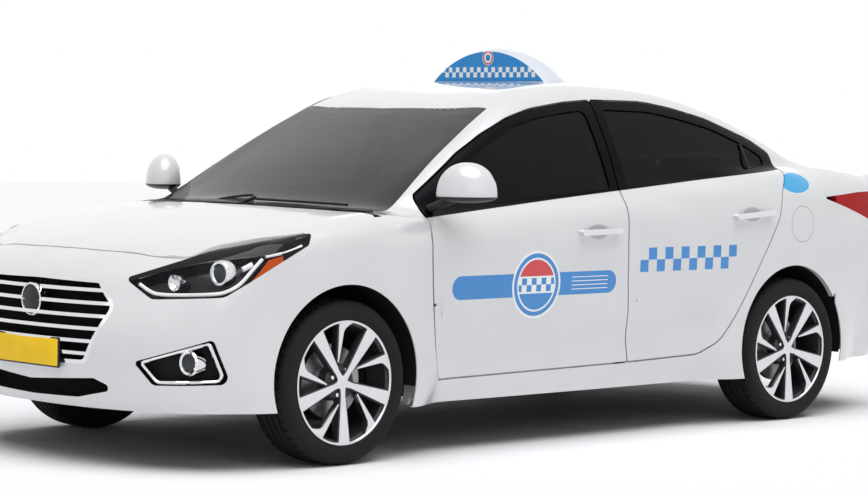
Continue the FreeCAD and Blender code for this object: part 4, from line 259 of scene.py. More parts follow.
def speedLines(look):
    m = markSizes
    run = look.x.within(m["discX"] + m["lineStart"], m["bandEnd"] - m["lineEnd"], 0.002)
    wave = abs(((look.z - m["bandZ"]) / m["linePitch"]).maths("FRACT") - 0.5)
    return run * wave.below(m["lineShare"], 0.06) * abs(look.z - m["bandZ"]).below(m["lineHalf"], 0.001)


def discMask(share):
    m = markSizes
    return lambda look: reachFrom(look, m["discX"], m["bandZ"]).below(m["discRadius"] * share, m["edge"])


def discUpper(look):
    return discMask(markSizes["field"])(look) * (look.z - markSizes["bandZ"]).above(markSizes["fieldGap"])


def discLower(look):
    return discMask(markSizes["field"])(look) * (look.z - markSizes["bandZ"]).below(-markSizes["fieldGap"])


def checkPattern(look, x0, z0, side):
    across = ((look.x - x0) / side).maths("FLOOR")
    up = ((look.z - z0) / side).maths("FLOOR")
    return ((across + up) / 2).maths("FRACT").above(0.25, 0.01)


def discChecks(look):
    m = markSizes
    rows = abs(look.z - m["bandZ"]).below(m["discCheck"], 0.001)
    field = reachFrom(look, m["discX"], m["bandZ"]).below(m["discRadius"] * m["field"])
    return checkPattern(look, m["discX"], m["bandZ"], m["discCheck"]) * rows * field


def rearChecks(look):
    m = markSizes
    zone = look.x.within(m["checkX"], m["checkEnd"]) * abs(look.z - m["checkZ"]).below(m["checkSide"], 0.001)
    return zone * checkPattern(look, m["checkX"], m["checkZ"], m["checkSide"])


def handleBar(door):
    k, place = handleSizes, handleSizes[door]
    return lambda look: (look.x.within(*place["x"]) * look.z.within(*place["z"])
                         * abs(look.y).above(k["barY"], 0.001))


# painted shade: a darker oval of paint behind the handle stands in for the shade in its recess
def handleCupShade(door):
    k = handleSizes
    return lambda look: ((reachFrom(look, *k[door]["cupShade"], *k["cupShadeReach"]) ** 2).below(1.0, 0.35)
                         * abs(look.y).below(k["cupShadeY"], 0.001))


def ovalMask(grow):
    m = markSizes
    return lambda look: reachFrom(look, m["ovalX"], m["ovalZ"], m["ovalHalf"] + grow,
                                  m["ovalHigh"] + grow).below(1.0, 0.02)


def flapRing(look):
    m = markSizes
    reach = reachFrom(look, m["flapX"], m["flapZ"])
    return abs(reach - m["flapRadius"]).below(m["flapSeam"], m["edge"])


def sticker(mask, tone):
    return mask, tone, 0.35, 0.0


# the painted shade of the handle's recess, then the chrome bar over it
def handleMarks(door):
    return (handleCupShade(door), "cupShade", 0.3, 0.2), (handleBar(door), "chrome", 0.10, 1.0)


blackSurround = (aboveBelt, "black", 0.36, 1.0)
frontCupShade, frontBar = handleMarks("front")
rearCupShade, rearBar = handleMarks("rear")
frontMarks = [frontCupShade, sticker(bandMask, "blue"), sticker(speedLines, "paper"),
              sticker(discMask(markSizes["rim"]), "paper"), sticker(discMask(1.0), "blue"),
              sticker(discMask(markSizes["ring"]), "paper"), sticker(discUpper, "red"),
              sticker(discLower, "blue"), sticker(discChecks, "blue"), blackSurround, frontBar]
rearMarks = [rearCupShade, sticker(rearChecks, "blue"), blackSurround, rearBar]
sideMarks = [sticker(ovalMask(markSizes["ovalRim"]), "paper"), sticker(ovalMask(0.0), "oval"),
             (flapRing, "seam", 0.6, 0.0)]

paintPlain = paintLook("bodyPaint")
paintFront = paintLook("frontDoorPaint", frontMarks)
paintRear = paintLook("rearDoorPaint", rearMarks)
paintSide = paintLook("sidePaint", sideMarks)
paintRoof = paintLook("roofPaint", (), None, "lining")
paintLid = paintLook("lidPaint", (), None, "trim")


grains = {"plasticPatch": 12.0, "darker": 0.86, "metalFine": 14, "film": 9.0, "filmAlpha": 0.04,
          "glassTint": 1.25, "mirrorPatch": 6.0, "signPatch": 8.0}


def plasticLook(name, tone, rough=0.55, grain=900.0, depth=0.0002, specular=0.45):
    look = Look(name)
    patch = look.noise(grains["plasticPatch"])
    color = look.mix(patch, tone, tuple(min(1.0, c * 1.35 + 0.004) for c in tone))
    normal = look.bump(look.noise(grain, 2.0), depth, 0.5)
    return look.finish(color=color, rough=rough + patch * 0.12, normal=normal, specular=specular)


def metalLook(name, tone, rough=0.12, patchy=0.06, scale=30.0, stretch=(1, 1, 1), metal=1.0):
    look = Look(name)
    patch = look.noise(scale, 3.0, stretch)
    color = look.mix(patch, tone, tuple(c * grains["darker"] for c in tone))
    normal = look.bump(look.noise(scale * grains["metalFine"], 2.0, stretch), 0.00008, 0.3)
    return look.finish(color=color, rough=rough + patch * patchy, metal=metal, normal=normal)


def glassLook(name, tone, alpha, rough=0.02, smear=0.03, specular=0.14):
    # tinted pane: its own colour and reflection over what shows through
    look = Look(name)
    film = look.noise(grains["film"])
    color = look.mix(film, tone, tuple(c * grains["glassTint"] for c in tone))
    return look.finish(color=color, rough=rough + film * smear, alpha=alpha + film * grains["filmAlpha"],
                       specular=specular, ior=1.45)


def rubberLook():
    look = Look("tyreRubber")
    patch = look.noise(16.0, 4.0)
    color = look.mix(patch, (0.006, 0.006, 0.0065), (0.016, 0.0155, 0.015))
    normal = look.bump(look.noise(600.0, 3.0), 0.0003, 0.5)
    return look.finish(color=color, rough=0.62 + patch * 0.2, normal=normal, specular=0.18)


def fabricLook(name, tone, pitch=0.004):
    # woven cloth: two sets of threads over and under each other
    look = Look(name)
    turn = 2 * math.pi / pitch
    warp = (look.y * turn).maths("SINE")
    weft = ((look.x + look.z) * turn).maths("SINE")
    weave = warp * weft * 0.5 + 0.5
    patch = look.noise(7.0, 3.0)
    color = look.mix(weave * 0.6 + patch * 0.4, tone, tuple(c * 1.7 + 0.006 for c in tone))
    return look.finish(color=color, rough=0.88 + patch * 0.08, normal=look.bump(weave, 0.0006, 0.6),
                       sheen=0.25)


def castLook():
    look = Look("castMetal")
    patch = look.noise(40.0, 5.0)
    color = look.mix(patch, (0.10, 0.10, 0.10), (0.24, 0.22, 0.20))
    return look.finish(color=color, rough=0.6 + patch * 0.25, metal=0.7 + patch * 0.1,
                       normal=look.bump(patch, 0.0008, 0.6))


chrome = metalLook("chrome", (0.78, 0.79, 0.81), 0.05, 0.05)
alloy = metalLook("machinedAlloy", (0.76, 0.77, 0.79), 0.20, 0.10, 20.0)
pocketPaint = metalLook("darkAlloy", (0.045, 0.046, 0.050), 0.42, 0.1, 30.0, (1, 1, 1), 0.55)
steelPaint = plasticLook("underbodyPaint", (0.022, 0.022, 0.024), 0.7, 300.0, 0.0006, 0.2)
# painted shade: near black with hardly any reflection, so that the nose structure behind the grille and
# intake reads as the shade in there
noseShadowLining = plasticLook("noseShadowLining", (0.004, 0.004, 0.0045), 0.85, 300.0, 0.0003, 0.06)
blackPlastic = plasticLook("blackPlastic", (0.010, 0.010, 0.011), 0.5, specular=0.3)
glossBlack = plasticLook("glossBlack", (0.005, 0.005, 0.006), 0.12, 200.0, 0.00004, 0.3)
darkLining = plasticLook("darkLining", (0.010, 0.010, 0.011), 0.75, 700.0, 0.0005, 0.15)
greyPlastic = plasticLook("greyPlastic", (0.33, 0.34, 0.35), 0.35)
plateYellow = plasticLook("plateYellow", (0.80, 0.49, 0.006), 0.65, 500.0, 0.0001)
cabinGlass = glassLook("tintedGlass", (0.003, 0.003, 0.0035), 0.80)
screenGlass = glassLook("windscreenGlass", (0.010, 0.0105, 0.011), 0.56, specular=0.9)
redLens = glassLook("redLens", (0.42, 0.006, 0.008), 0.80, 0.05)
lampGlow = plasticLook("lampWhite", (0.85, 0.86, 0.88), 0.25, 300.0, 0.00005)
mirrorGlass = metalLook("mirrorGlass", (0.60, 0.63, 0.66), 0.02, 0.02)
tyreRubber = rubberLook()
seatCloth = fabricLook("seatCloth", (0.028, 0.028, 0.031))
castMetal = castLook()
bareSteel = metalLook("exhaustSteel", (0.36, 0.33, 0.30), 0.35, 0.25, 12.0)
discSteel = metalLook("discSteel", (0.42, 0.42, 0.43), 0.30, 0.15, 60.0)


print("helpers")


def shown(bm, name, material, body, crease=0.55):
    # turns a bmesh into a piece of the object, with soft shading up to the crease angle
    bmesh.ops.remove_doubles(bm, verts=bm.verts[:], dist=1e-6)
    bmesh.ops.recalc_face_normals(bm, faces=bm.faces[:])
    for face in bm.faces:
        face.smooth = True
    for edge in bm.edges:
        if len(edge.link_faces) == 2:
            edge.smooth = edge.calc_face_angle(0.0) < crease
    mesh = bpy.data.meshes.new(name)
    bm.to_mesh(mesh)
    bm.free()
    piece = bpy.data.objects.new(name, mesh)
    bpy.context.scene.collection.objects.link(piece)
    piece.data.materials.append(material)
    if body:
        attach(piece, body)
    return piece


def bent(bm, place):
    for vert in bm.verts:
        vert.co = Vector(place(*vert.co))
    return bm


def joined(parts):
    whole = bmesh.new()
    for bm in parts:
        mesh = bpy.data.meshes.new("part")
        bm.to_mesh(mesh)
        whole.from_mesh(mesh)
        bm.free()
        bpy.data.meshes.remove(mesh)
    return whole


def sideCopies(bm):
    # the part and its mirror image in y
    mesh = bpy.data.meshes.new("part")
    bm.to_mesh(mesh)
    twin = bmesh.new()
    twin.from_mesh(mesh)
    bpy.data.meshes.remove(mesh)
    bmesh.ops.reverse_faces(twin, faces=twin.faces[:])
    return bm, bent(twin, lambda x, y, z: (x, -y, z))


def block(size, rounding):
    # box about the origin with rounded edges
    bm = bmesh.new()
    bmesh.ops.create_cube(bm, size=1.0)
    bent(bm, lambda x, y, z: (x * size[0], y * size[1], z * size[2]))
    bmesh.ops.bevel(bm, geom=bm.edges[:], offset=rounding, segments=2, profile=0.5, affect="EDGES",
                    material=-1)
    return bm


def turned(profile, steps):
    # spins a profile of (radius, height) about z
    bm = bmesh.new()
    verts = [bm.verts.new((r, 0, h)) for r, h in profile]
    edges = [bm.edges.new(pair) for pair in zip(verts, verts[1:])]
    bmesh.ops.spin(bm, geom=verts + edges, cent=(0, 0, 0), axis=(0, 0, 1), angle=2 * math.pi, steps=steps)
    bmesh.ops.remove_doubles(bm, verts=bm.verts[:], dist=1e-5)
    return bm


def meshOf(curve):
    # bmesh of a curve's surface
    holder = bpy.data.objects.new("curve", curve)
    bpy.context.scene.collection.objects.link(holder)
    mesh = bpy.data.meshes.new_from_object(holder)
    bm = bmesh.new()
    bm.from_mesh(mesh)
    bpy.data.objects.remove(holder)
    bpy.data.meshes.remove(mesh)
    bpy.data.curves.remove(curve)
    return bm


def curveData(points, kind, closed):
    # curve along points given as (x, y) or (x, y, z)
    curve = bpy.data.curves.new("curve", "CURVE")
    curve.dimensions = f"{len(points[0])}D"
    spline = curve.splines.new(kind)
    spline.points.add(len(points) - 1)
    for point, place in zip(spline.points, points):
        point.co = (*place, 0.0, 0.0)[:3] + (1.0,)
    spline.use_cyclic_u = closed
    return curve, spline


def plate(outline, thick, rounding):
    # flat outline given a thickness, middle at z = 0, with bevelled edges
    curve, spline = curveData(outline, "POLY", True)
    curve.fill_mode = "BOTH"
    curve.extrude = thick / 2 - rounding
    curve.bevel_depth = rounding
    curve.bevel_resolution = 1
    curve.offset = -rounding
    return meshOf(curve)


def tube(points, radius, closed=False, smooth=True):
    # round bar along points, smoothed as a spline
    curve, spline = curveData(points, "NURBS" if smooth and len(points) > 2 else "POLY", closed)
    if spline.type == "NURBS":
        spline.order_u = 3
        spline.use_endpoint_u = not closed
    spline.resolution_u = 6
    curve.bevel_depth = radius
    curve.bevel_resolution = 3
    curve.use_fill_caps = True
    return meshOf(curve)


def nodeMesh(*names):
    # one bmesh of several CAD nodes
    bm = bmesh.new()
    for name in names:
        bm.from_mesh(nodes[name].data)
    return bm


def tree(*names):
    bm = nodeMesh(*names)
    bmesh.ops.triangulate(bm, faces=bm.faces[:])
    made = BVHTree.FromBMesh(bm)
    bm.free()
    return made


def dressed(name, material):
    # gives a CAD node its material
    data = nodes[name].data
    data.materials.clear()
    data.materials.append(material)


noseTree = tree("front_bumper", "grille", "fog_lamps", "headlamps", "hood", "fender_left", "fender_right")
tailTree = tree("rear_bumper", "trunk_lid", "taillamps", "body_side_left", "body_side_right")
roofTree = tree("roof_panel", "hood", "windscreen", "rear_window", "trunk_lid", "cowl_panel")


def struck(surface, origin, direction, fallback):
    spot = surface.ray_cast(Vector(origin), Vector(direction).normalized(), 8.0)[0]
    return spot if spot else Vector(fallback)


def noseX(y, z, miss=-2.10):
    return struck(noseTree, (-4.0, y, z), (1, 0, 0), (miss, y, z)).x


def tailX(y, z, miss=2.15):
    return struck(tailTree, (4.0, y, z), (-1, 0, 0), (miss, y, z)).x


def topZ(x, y, miss=1.4):
    return struck(roofTree, (x, y, 3.0), (0, 0, -1), (x, y, miss)).z


print("wheels")

wheelSizes = {"axles": {"front": -1.3625, "rear": 1.2175}, "y": 0.750, "radius": 0.308, "half": 0.1025,
              "steps": 144, "faceTip": 0.0945, "faceHub": 0.082, "faceReach": 0.222, "blade": 0.011,
              "pocketDeep": 0.034, "pocketGrow": 0.005, "nutCircle": 0.050, "nuts": 4,
              "nutStart": 65.0, "wideStart": 54.0, "thinStart": 90.0, "spokes": 5, "dish": 1.3,
              "bladeEdge": 0.0014, "pocketDrop": 0.0030, "grooves": (0.054, 0.0765), "grooveEvery": 3,
              "grooveInset": 0.0008, "grooveDeep": -0.004}
tyreProfile = [(0.2335, 0.0935), (0.2385, 0.0985), (0.2430, 0.0975), (0.2460, 0.0995), (0.2600, 0.1020),
               (0.2700, 0.1025), (0.2800, 0.1010), (0.2835, 0.1010), (0.2850, 0.0990), (0.2940, 0.0925),
               (0.3005, 0.0850), (0.3045, 0.0770), (0.3062, 0.0700), (0.3075, 0.0540), (0.3005, 0.0530),
               (0.3005, 0.0460), (0.3077, 0.0450), (0.3080, 0.0220), (0.3010, 0.0210), (0.3010, 0.0120),
               (0.3080, 0.0110)]
lipProfile = [(0.2215, 0.0850), (0.2225, 0.0930), (0.2245, 0.0955), (0.2285, 0.0960), (0.2315, 0.0950),
              (0.2328, 0.0920), (0.2325, 0.0880)]
barrelProfile = [(0.2325, 0.0880), (0.2230, 0.0845), (0.2150, 0.0790), (0.2100, 0.0400), (0.2040, -0.0200),
                 (0.2080, -0.0850), (0.2320, -0.0920), (0.2320, -0.0980), (0.2020, -0.0950),
                 (0.1980, -0.0200)]
hubProfile = [(0.0, 0.0720), (0.036, 0.0720), (0.062, 0.0680), (0.070, 0.0600), (0.072, 0.0300),
              (0.072, 0.0050)]
capProfile = [(0.0, 0.0860), (0.012, 0.0856), (0.022, 0.0840), (0.0265, 0.0815), (0.028, 0.0780),
              (0.028, 0.0650)]
nutProfile = [(0.0, 0.0800), (0.006, 0.0795), (0.0085, 0.0780), (0.0095, 0.0750), (0.0095, 0.0640)]
discProfile = [(0.030, 0.0230), (0.072, 0.0230), (0.074, 0.0140), (0.138, 0.0140), (0.140, 0.0120),
               (0.140, -0.0040), (0.138, -0.0060), (0.030, -0.0060)]
wideBlade = [(0.018, -0.013), (0.045, -0.0105), (0.224, -0.0270), (0.2275, 0.0), (0.224, 0.0270),
             (0.045, 0.0105), (0.018, 0.013)]
thinBlade = [(0.076, -0.0300), (0.221, -0.0300), (0.226, -0.0100), (0.2265, 0.0100), (0.2215, 0.0385),
             (0.2130, 0.0190), (0.2030, 0.0030), (0.1900, -0.0060), (0.1500, -0.0125), (0.1000, -0.0205),
             (0.0780, -0.0245)]


def faceHeight(x, y):
    w = wheelSizes
    reach = max(0.0, 1.0 - math.hypot(x, y) / w["faceReach"])
    return w["faceTip"] - (w["faceTip"] - w["faceHub"]) * reach ** w["dish"]


def blade(outline, angle, grow, thick, drop):
    # spoke outline (along, clockwise) turned to its place, following the dished face
    turn = math.radians(angle)
    along, clock = (math.cos(turn), math.sin(turn)), (math.sin(turn), -math.cos(turn))
    middle = sum(v for u, v in outline) / len(outline)
    corners = []
    for u, v in outline:
        v += math.copysign(grow, v - middle)
        corners.append((u * along[0] + v * clock[0], u * along[1] + v * clock[1]))
    bm = plate(corners, thick, wheelSizes["bladeEdge"])
    return bent(bm, lambda x, y, z: (x, y, z - thick / 2 - drop + faceHeight(x, y)))


def spokes(grow, thick, drop):
    w = wheelSizes
    made = []
    for i in range(w["spokes"]):
        step = 360.0 * i / w["spokes"]
        made.append(blade(wideBlade, w["wideStart"] + step, grow, thick, drop))
        made.append(blade(thinBlade, w["thinStart"] + step, grow, thick, drop))
    return joined(made)


def tyreMesh():
    w = wheelSizes
    low, high = w["grooves"]
    bm = turned(tyreProfile + [(r, -h) for r, h in reversed(tyreProfile)], w["steps"])
    cuts = []
    for face in bm.faces:
        spot = face.calc_center_median()
        index = round(math.atan2(spot.y, spot.x) / (2 * math.pi) * w["steps"] - 0.5)
        if low < abs(spot.z) < high and index % w["grooveEvery"] == 0:
            cuts.append(face)
    bmesh.ops.inset_region(bm, faces=cuts, thickness=w["grooveInset"], depth=w["grooveDeep"])
    return bm


def around(bm, circle, start, count):
    # copies of a part round the wheel's centre
    made = []
    mesh = bpy.data.meshes.new("part")
    bm.to_mesh(mesh)
    bm.free()
    for i in range(count):
        turn = math.radians(start + 360.0 * i / count)
        twin = bmesh.new()
        twin.from_mesh(mesh)
        made.append(bent(twin, lambda x, y, z: (x + circle * math.cos(turn), y + circle * math.sin(turn), z)))
    bpy.data.meshes.remove(mesh)
    return joined(made)


def wheelParts():
    w = wheelSizes
    nuts = around(turned(nutProfile, 6), w["nutCircle"], w["nutStart"], w["nuts"])
    return {"tyre": (tyreMesh(), tyreRubber, "tyre"),
            "spokes": (spokes(0.0, w["blade"], 0.0), alloy, "alloy"),
            "pockets": (spokes(w["pocketGrow"], w["pocketDeep"], w["pocketDrop"]), pocketPaint, "alloy"),
            "lip": (turned(lipProfile, w["steps"]), alloy, "alloy"),
            "barrel": (turned(barrelProfile, 72), pocketPaint, "alloy"),
            "hub": (turned(hubProfile, 48), pocketPaint, "alloy"),
            "cap": (turned(capProfile, 40), alloy, "alloy"),
            "nuts": (nuts, chrome, "steel"),
            "disc": (turned(discProfile, 64), discSteel, "cast")}


for end, centreX in wheelSizes["axles"].items():
    for side, sign in (("left", -1), ("right", 1)):
        body = f"wheel_{end}_{side}"
        for part, (bm, material, slotName) in wheelParts().items():
            bent(bm, lambda x, y, z: (centreX + x, sign * (wheelSizes["y"] + z), wheelSizes["radius"] + y))
            shown(bm, f"{part}_{end}_{side}", material, body)
        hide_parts(f"tyre_{end}_{side}")
        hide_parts(f"rim_{end}_{side}")


print("lamps")

lampSizes = {"lens": 0.003, "bucket": 0.060, "projector": (-1.880, -0.748, 0.724),
             "bowl": (-1.987, -0.628, 0.687), "fogCentre": (-1.990, -0.714, 0.403), "fogDeep": 0.045,
             "fogInset": 0.012, "frameShare": 0.86, "frameInset": 0.010, "frameRadius": 0.0075}
stripPoints = [(-2.061, -0.513, 0.678), (-2.054, -0.555, 0.655), (-2.040, -0.596, 0.643),
               (-1.986, -0.691, 0.645), (-1.931, -0.765, 0.650), (-1.899, -0.793, 0.655),
               (-1.863, -0.813, 0.674), (-1.836, -0.823, 0.696), (-1.798, -0.829, 0.737),
               (-1.754, -0.830, 0.774)]
upperPoints = [(-1.739, -0.830, 0.783), (-1.690, -0.840, 0.791), (-1.650, -0.846, 0.799),
               (-1.582, -0.845, 0.819)]
linePoints = [(-2.055, -0.498, 0.698), (-2.015, -0.553, 0.721), (-1.968, -0.614, 0.742),
              (-1.915, -0.676, 0.760), (-1.846, -0.757, 0.774), (-1.763, -0.816, 0.786)]
flashPoints = [(-1.829, -0.810, 0.738), (-1.812, -0.815, 0.746), (-1.794, -0.822, 0.756)]
lampTubes = {"dayStrips": (stripPoints, 0.008, 0.0068, lampGlow, "clear_lens"),
             "markerStrips": (upperPoints, 0.006, 0.0062, lampGlow, "clear_lens"),
             "lampSeams": (linePoints, 0.006, 0.0024, greyPlastic, "chrome"),
             "lampFlashes": (flashPoints, 0.012, 0.010, lampGlow, "chrome")}
slant = Vector((-1, -1, 0)).normalized()


def outerFaces(name, aim=slant, least=0.3):
    # faces of a CAD node's left half that look outwards, as an open sheet
    bm = nodeMesh(name)
    bm.normal_update()
    gone = [f for f in bm.faces if f.normal.dot(aim) < least or f.calc_center_median().y > 0]
    bmesh.ops.delete(bm, geom=gone, context="FACES")
    bmesh.ops.remove_doubles(bm, verts=bm.verts[:], dist=1e-5)
    return bm


def thickened(bm, aim, depth, keepFront=True):
    # sheet given walls and a back, away from aim
    front = bm.faces[:]
    made = bmesh.ops.extrude_face_region(bm, geom=front, use_keep_orig=True)["geom"]
    for item in made:
        if isinstance(item, bmesh.types.BMVert):
            item.co -= aim * depth
    if not keepFront:
        bmesh.ops.delete(bm, geom=[f for f in front if f.is_valid], context="FACES_ONLY")
    return bm


def inward(points, aim, depth):
    return [tuple(Vector(p) - aim * depth) for p in points]


def lathed(profile, steps, centre, aim):
    # turned part with its axis along aim
    turn = Vector((0, 0, 1)).rotation_difference(Vector(aim)).to_matrix()
    bm = turned(profile, steps)
    return bent(bm, lambda x, y, z: Vector(centre) + turn @ Vector((x, y, z)))


def pair(bm, name, material, slotName, body="body", crease=0.55):
    # the left part and its mirror image as one piece
    return shown(joined(sideCopies(bm)), name, material, body, crease)


ahead = Vector((-1, -0.12, 0)).normalized()
lampTop = {"start": -2.055, "z": 0.698, "slope": 0.56, "curve": 0.9, "bend": 0.31, "after": 0.22}
amberEdge = {"x": -1.806, "z": 0.696, "lean": 1.013, "topX": -1.735, "topZ": 0.770, "topSlope": 0.24,
             "end": -1.672, "clear": (0.10, 0.10, 0.11), "amber": (0.55, 0.075, 0.004), "bandAlpha": 0.92,
             "amberAlpha": 0.86, "film": 0.03}


def headlampLook():
    # clear cover: black band under its upper edge, amber corner behind the light strip
    look = Look("headlampCover")
    t, k = lampTop, amberEdge
    along = look.x - t["start"]
    near = along.least(t["bend"])
    edge = near * t["slope"] - near * near * t["curve"] + (along - near) * t["after"] + t["z"]
    band = (look.z - edge).above(0.0, 0.001)
    behind = (look.x - k["x"] - (look.z - k["z"]) * k["lean"]).above(0.0, 0.001)
    under = (look.z - k["topZ"] - (look.x - k["topX"]) * k["topSlope"]).below(0.0, 0.001)
    amber = behind * under * look.x.below(k["end"], 0.004)
    rear = (look.x.above(k["end"], 0.004) + band).held()
    film = look.noise(grains["film"])
    color = look.mix(rear, k["clear"], paintTones["black"])
    color = look.mix(amber, color, k["amber"])
    solid = (rear * k["bandAlpha"] + amber * k["amberAlpha"]).held()
    haze = film * k["film"] + k["film"]
    return look.finish(color=color, rough=haze, alpha=solid + haze,
                       specular=0.25, ior=1.45)


lens = pair(thickened(outerFaces("headlamps"), slant, lampSizes["lens"]), "headlampLenses", headlampLook(),
            "clear_lens")
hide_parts("headlamps")
pair(thickened(outerFaces("headlamps"), slant, lampSizes["bucket"], False), "headlampBowls", glossBlack,
     "black_plastic")
for name, (points, depth, radius, material, slotName) in lampTubes.items():
    pair(tube(inward(points, slant, depth), radius), name, material, slotName)
ring = [(0.031, 0.000), (0.035, 0.006), (0.044, 0.006), (0.047, 0.000), (0.047, -0.034), (0.038, -0.038)]
dome = [(0.0, 0.010), (0.010, 0.009), (0.020, 0.006), (0.028, 0.000), (0.032, -0.008)]
pair(lathed(ring, 48, lampSizes["projector"], ahead), "projectorRings", chrome, "chrome")
projectorGlass = glassLook("projectorGlass", (0.05, 0.055, 0.07), 0.92)
pair(lathed(dome, 40, lampSizes["projector"], ahead), "projectorLenses", projectorGlass, "clear_lens")
bowl = [(0.0, -0.016), (0.010, -0.014), (0.020, -0.006), (0.027, 0.006), (0.030, 0.008), (0.030, -0.020)]
pair(lathed(bowl, 40, lampSizes["bowl"], ahead), "turnBowls", chrome, "chrome")


def edgeLoop(bm):
    # the boundary of an open sheet, in order round its longest loop, started at its lowest edge number
    bm.edges.index_update()
    left = {e.index: e for e in bm.edges if len(e.link_faces) == 1}
    loops = []
    while left:
        edge = left.pop(min(left))
        run = [edge.verts[0], edge.verts[1]]
        while True:
            step = next((e for e in run[-1].link_edges if e.index in left), None)
            if step is None:
                break
            del left[step.index]
            run.append(step.other_vert(run[-1]))
        loops.append([v.co.copy() for v in run[:-1]])
    return max(loops, key=len)


def shrunk(points, share):
    middle = sum(points, Vector()) / len(points)
    return [middle + (p - middle) * share for p in points]


fogSheet = outerFaces("fog_lamps")
fogEdge = edgeLoop(fogSheet)
fogPocket = thickened(fogSheet, slant, lampSizes["fogDeep"], False)
fogBowls = pair(fogPocket, "fogPockets", darkLining, "black_plastic")
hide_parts("fog_lamps")
frameLine = inward(shrunk(fogEdge, lampSizes["frameShare"]), slant, lampSizes["frameInset"])
pair(tube(frameLine, lampSizes["frameRadius"], True, False), "fogFrames", chrome, "chrome")
fogRing = [(0.030, -0.010), (0.034, 0.006), (0.042, 0.010), (0.047, 0.004), (0.048, -0.034)]
fogDome = [(0.0, -0.002), (0.016, -0.003), (0.032, -0.008)]
fogSpot = inward([lampSizes["fogCentre"]], slant, lampSizes["fogInset"])[0]
fogGlass = glassLook("fogGlass", (0.06, 0.065, 0.07), 0.9)
pair(lathed(fogRing, 40, fogSpot, ahead), "fogRings", chrome, "chrome")
pair(lathed(fogDome, 32, fogSpot, ahead), "fogGlasses", fogGlass, "clear_lens")


print("front, rear and trim")

trimSizes = {"plateY": 0.0, "plateZ": 0.414, "plateLift": 0.0001, "plateSize": (0.38, 0.100, 0.008),
             "plateFrame": 0.012, "frameBack": 0.004, "plateEdge": 0.35, "backZ": 0.86, "backLift": 0.004,
             "meshPitch": 0.030, "meshWire": 0.0022, "meshBack": 0.034, "meshTaper": 0.35, "meshLean": 0.06,
             "meshSweep": 0.13, "grilleHalf": 0.43, "grilleLow": 0.385, "grilleHigh": 0.690}


def flatPlate(x, y, z, sign):
    # blank number plate with a thin frame, facing along sign
    t = trimSizes
    wide, high, thick = t["plateSize"]
    made = []
    for grow, shift in ((0.0, 0.0), (t["plateFrame"], t["frameBack"])):
        bm = block((wide + grow, high + grow, thick), thick * t["plateEdge"])
        made.append(bent(bm, lambda u, v, w: (x + sign * (w - shift), y + u, z + v)))
    return made


def plateX():
    # middle of a plate whose face lies just ahead of everything that it covers
    t = trimSizes
    spots = [noseX(t["plateY"] + i * t["plateSize"][0] / 8, t["plateZ"] + j * t["plateSize"][1] / 4)
             for i in range(-4, 5) for j in range(-2, 3)]
    return min(spots) - t["plateLift"] + t["plateSize"][2] / 2


front, frontFrame = flatPlate(plateX(), trimSizes["plateY"], trimSizes["plateZ"], -1)
shown(front, "plateFront", plateYellow, "body")
shown(frontFrame, "plateFrameFront", blackPlastic, "body")
backX = tailX(0.0, trimSizes["backZ"]) + trimSizes["backLift"]
rear, rearFrame = flatPlate(backX, 0.0, trimSizes["backZ"], 1)
shown(rear, "plateRear", plateYellow, "trunk_lid")
shown(rearFrame, "plateFrameRear", blackPlastic, "trunk_lid")


def latticeWires():
    # crossed wires behind the grille's bars
    t = trimSizes
    wires = []
    count = int(2 * t["grilleHalf"] / t["meshPitch"])
    middle = (t["grilleLow"] + t["grilleHigh"]) / 2
    for i in range(count + 1):
        y = (i / count * 2 - 1) * t["grilleHalf"]
        reach = (t["grilleHigh"] - t["grilleLow"]) / 2 * (1.0 - t["meshTaper"] * abs(y) / t["grilleHalf"])
        for lean in (-t["meshLean"], t["meshLean"]):
            spots = [(y + lean * k, middle + reach * k) for k in (-1, 0, 1)]
            back = noseX(0.0, t["grilleHigh"]) + t["meshBack"]
            wires.append(tube([(back + abs(a) * t["meshSweep"], a, b) for a, b in spots], t["meshWire"]))
    return joined(wires)


shown(latticeWires(), "grilleMesh", blackPlastic, "body")

badgeSizes = {"z": 0.600, "radius": 0.062, "ahead": -0.001, "rim": 0.0085}


def badgeSpot():
    # just ahead of the foremost bar that the disc covers
    b = badgeSizes
    reach = [noseX(b["radius"] * k, b["z"] + b["radius"] * j) for k in (-1, 0, 1) for j in (-1, 0, 1)]
    return min(reach) - b["ahead"], 0.0, b["z"]


radius, rim = badgeSizes["radius"], badgeSizes["rim"]
badgeFace = [(0.0, 0.004), (radius * 0.5, 0.003), (radius - rim, 0.0), (radius - rim, -0.006)]
badgeRing = [(radius - rim, -0.004), (radius - rim * 0.8, 0.004), (radius - rim * 0.4, 0.0055),
             (radius, 0.002), (radius, -0.022), (radius - rim, -0.022)]
shown(lathed(badgeFace, 64, badgeSpot(), (-1, 0, 0)), "badgeFace", glossBlack, "body")
shown(lathed(badgeRing, 64, badgeSpot(), (-1, 0, 0)), "badgeRing", chrome, "body")


skinSizes = {"front": {"x": -0.878, "z": 0.580, "ahead": 0.045, "behind": 0.018},
             "rear": {"x": 0.219, "z": 0.602, "ahead": 0.018, "behind": 0.018},
             "half": 0.031, "heights": (-0.075, -0.036, 0.036, 0.075), "step": 0.0005, "proud": 0.00015,
             "wall": 0.0008}


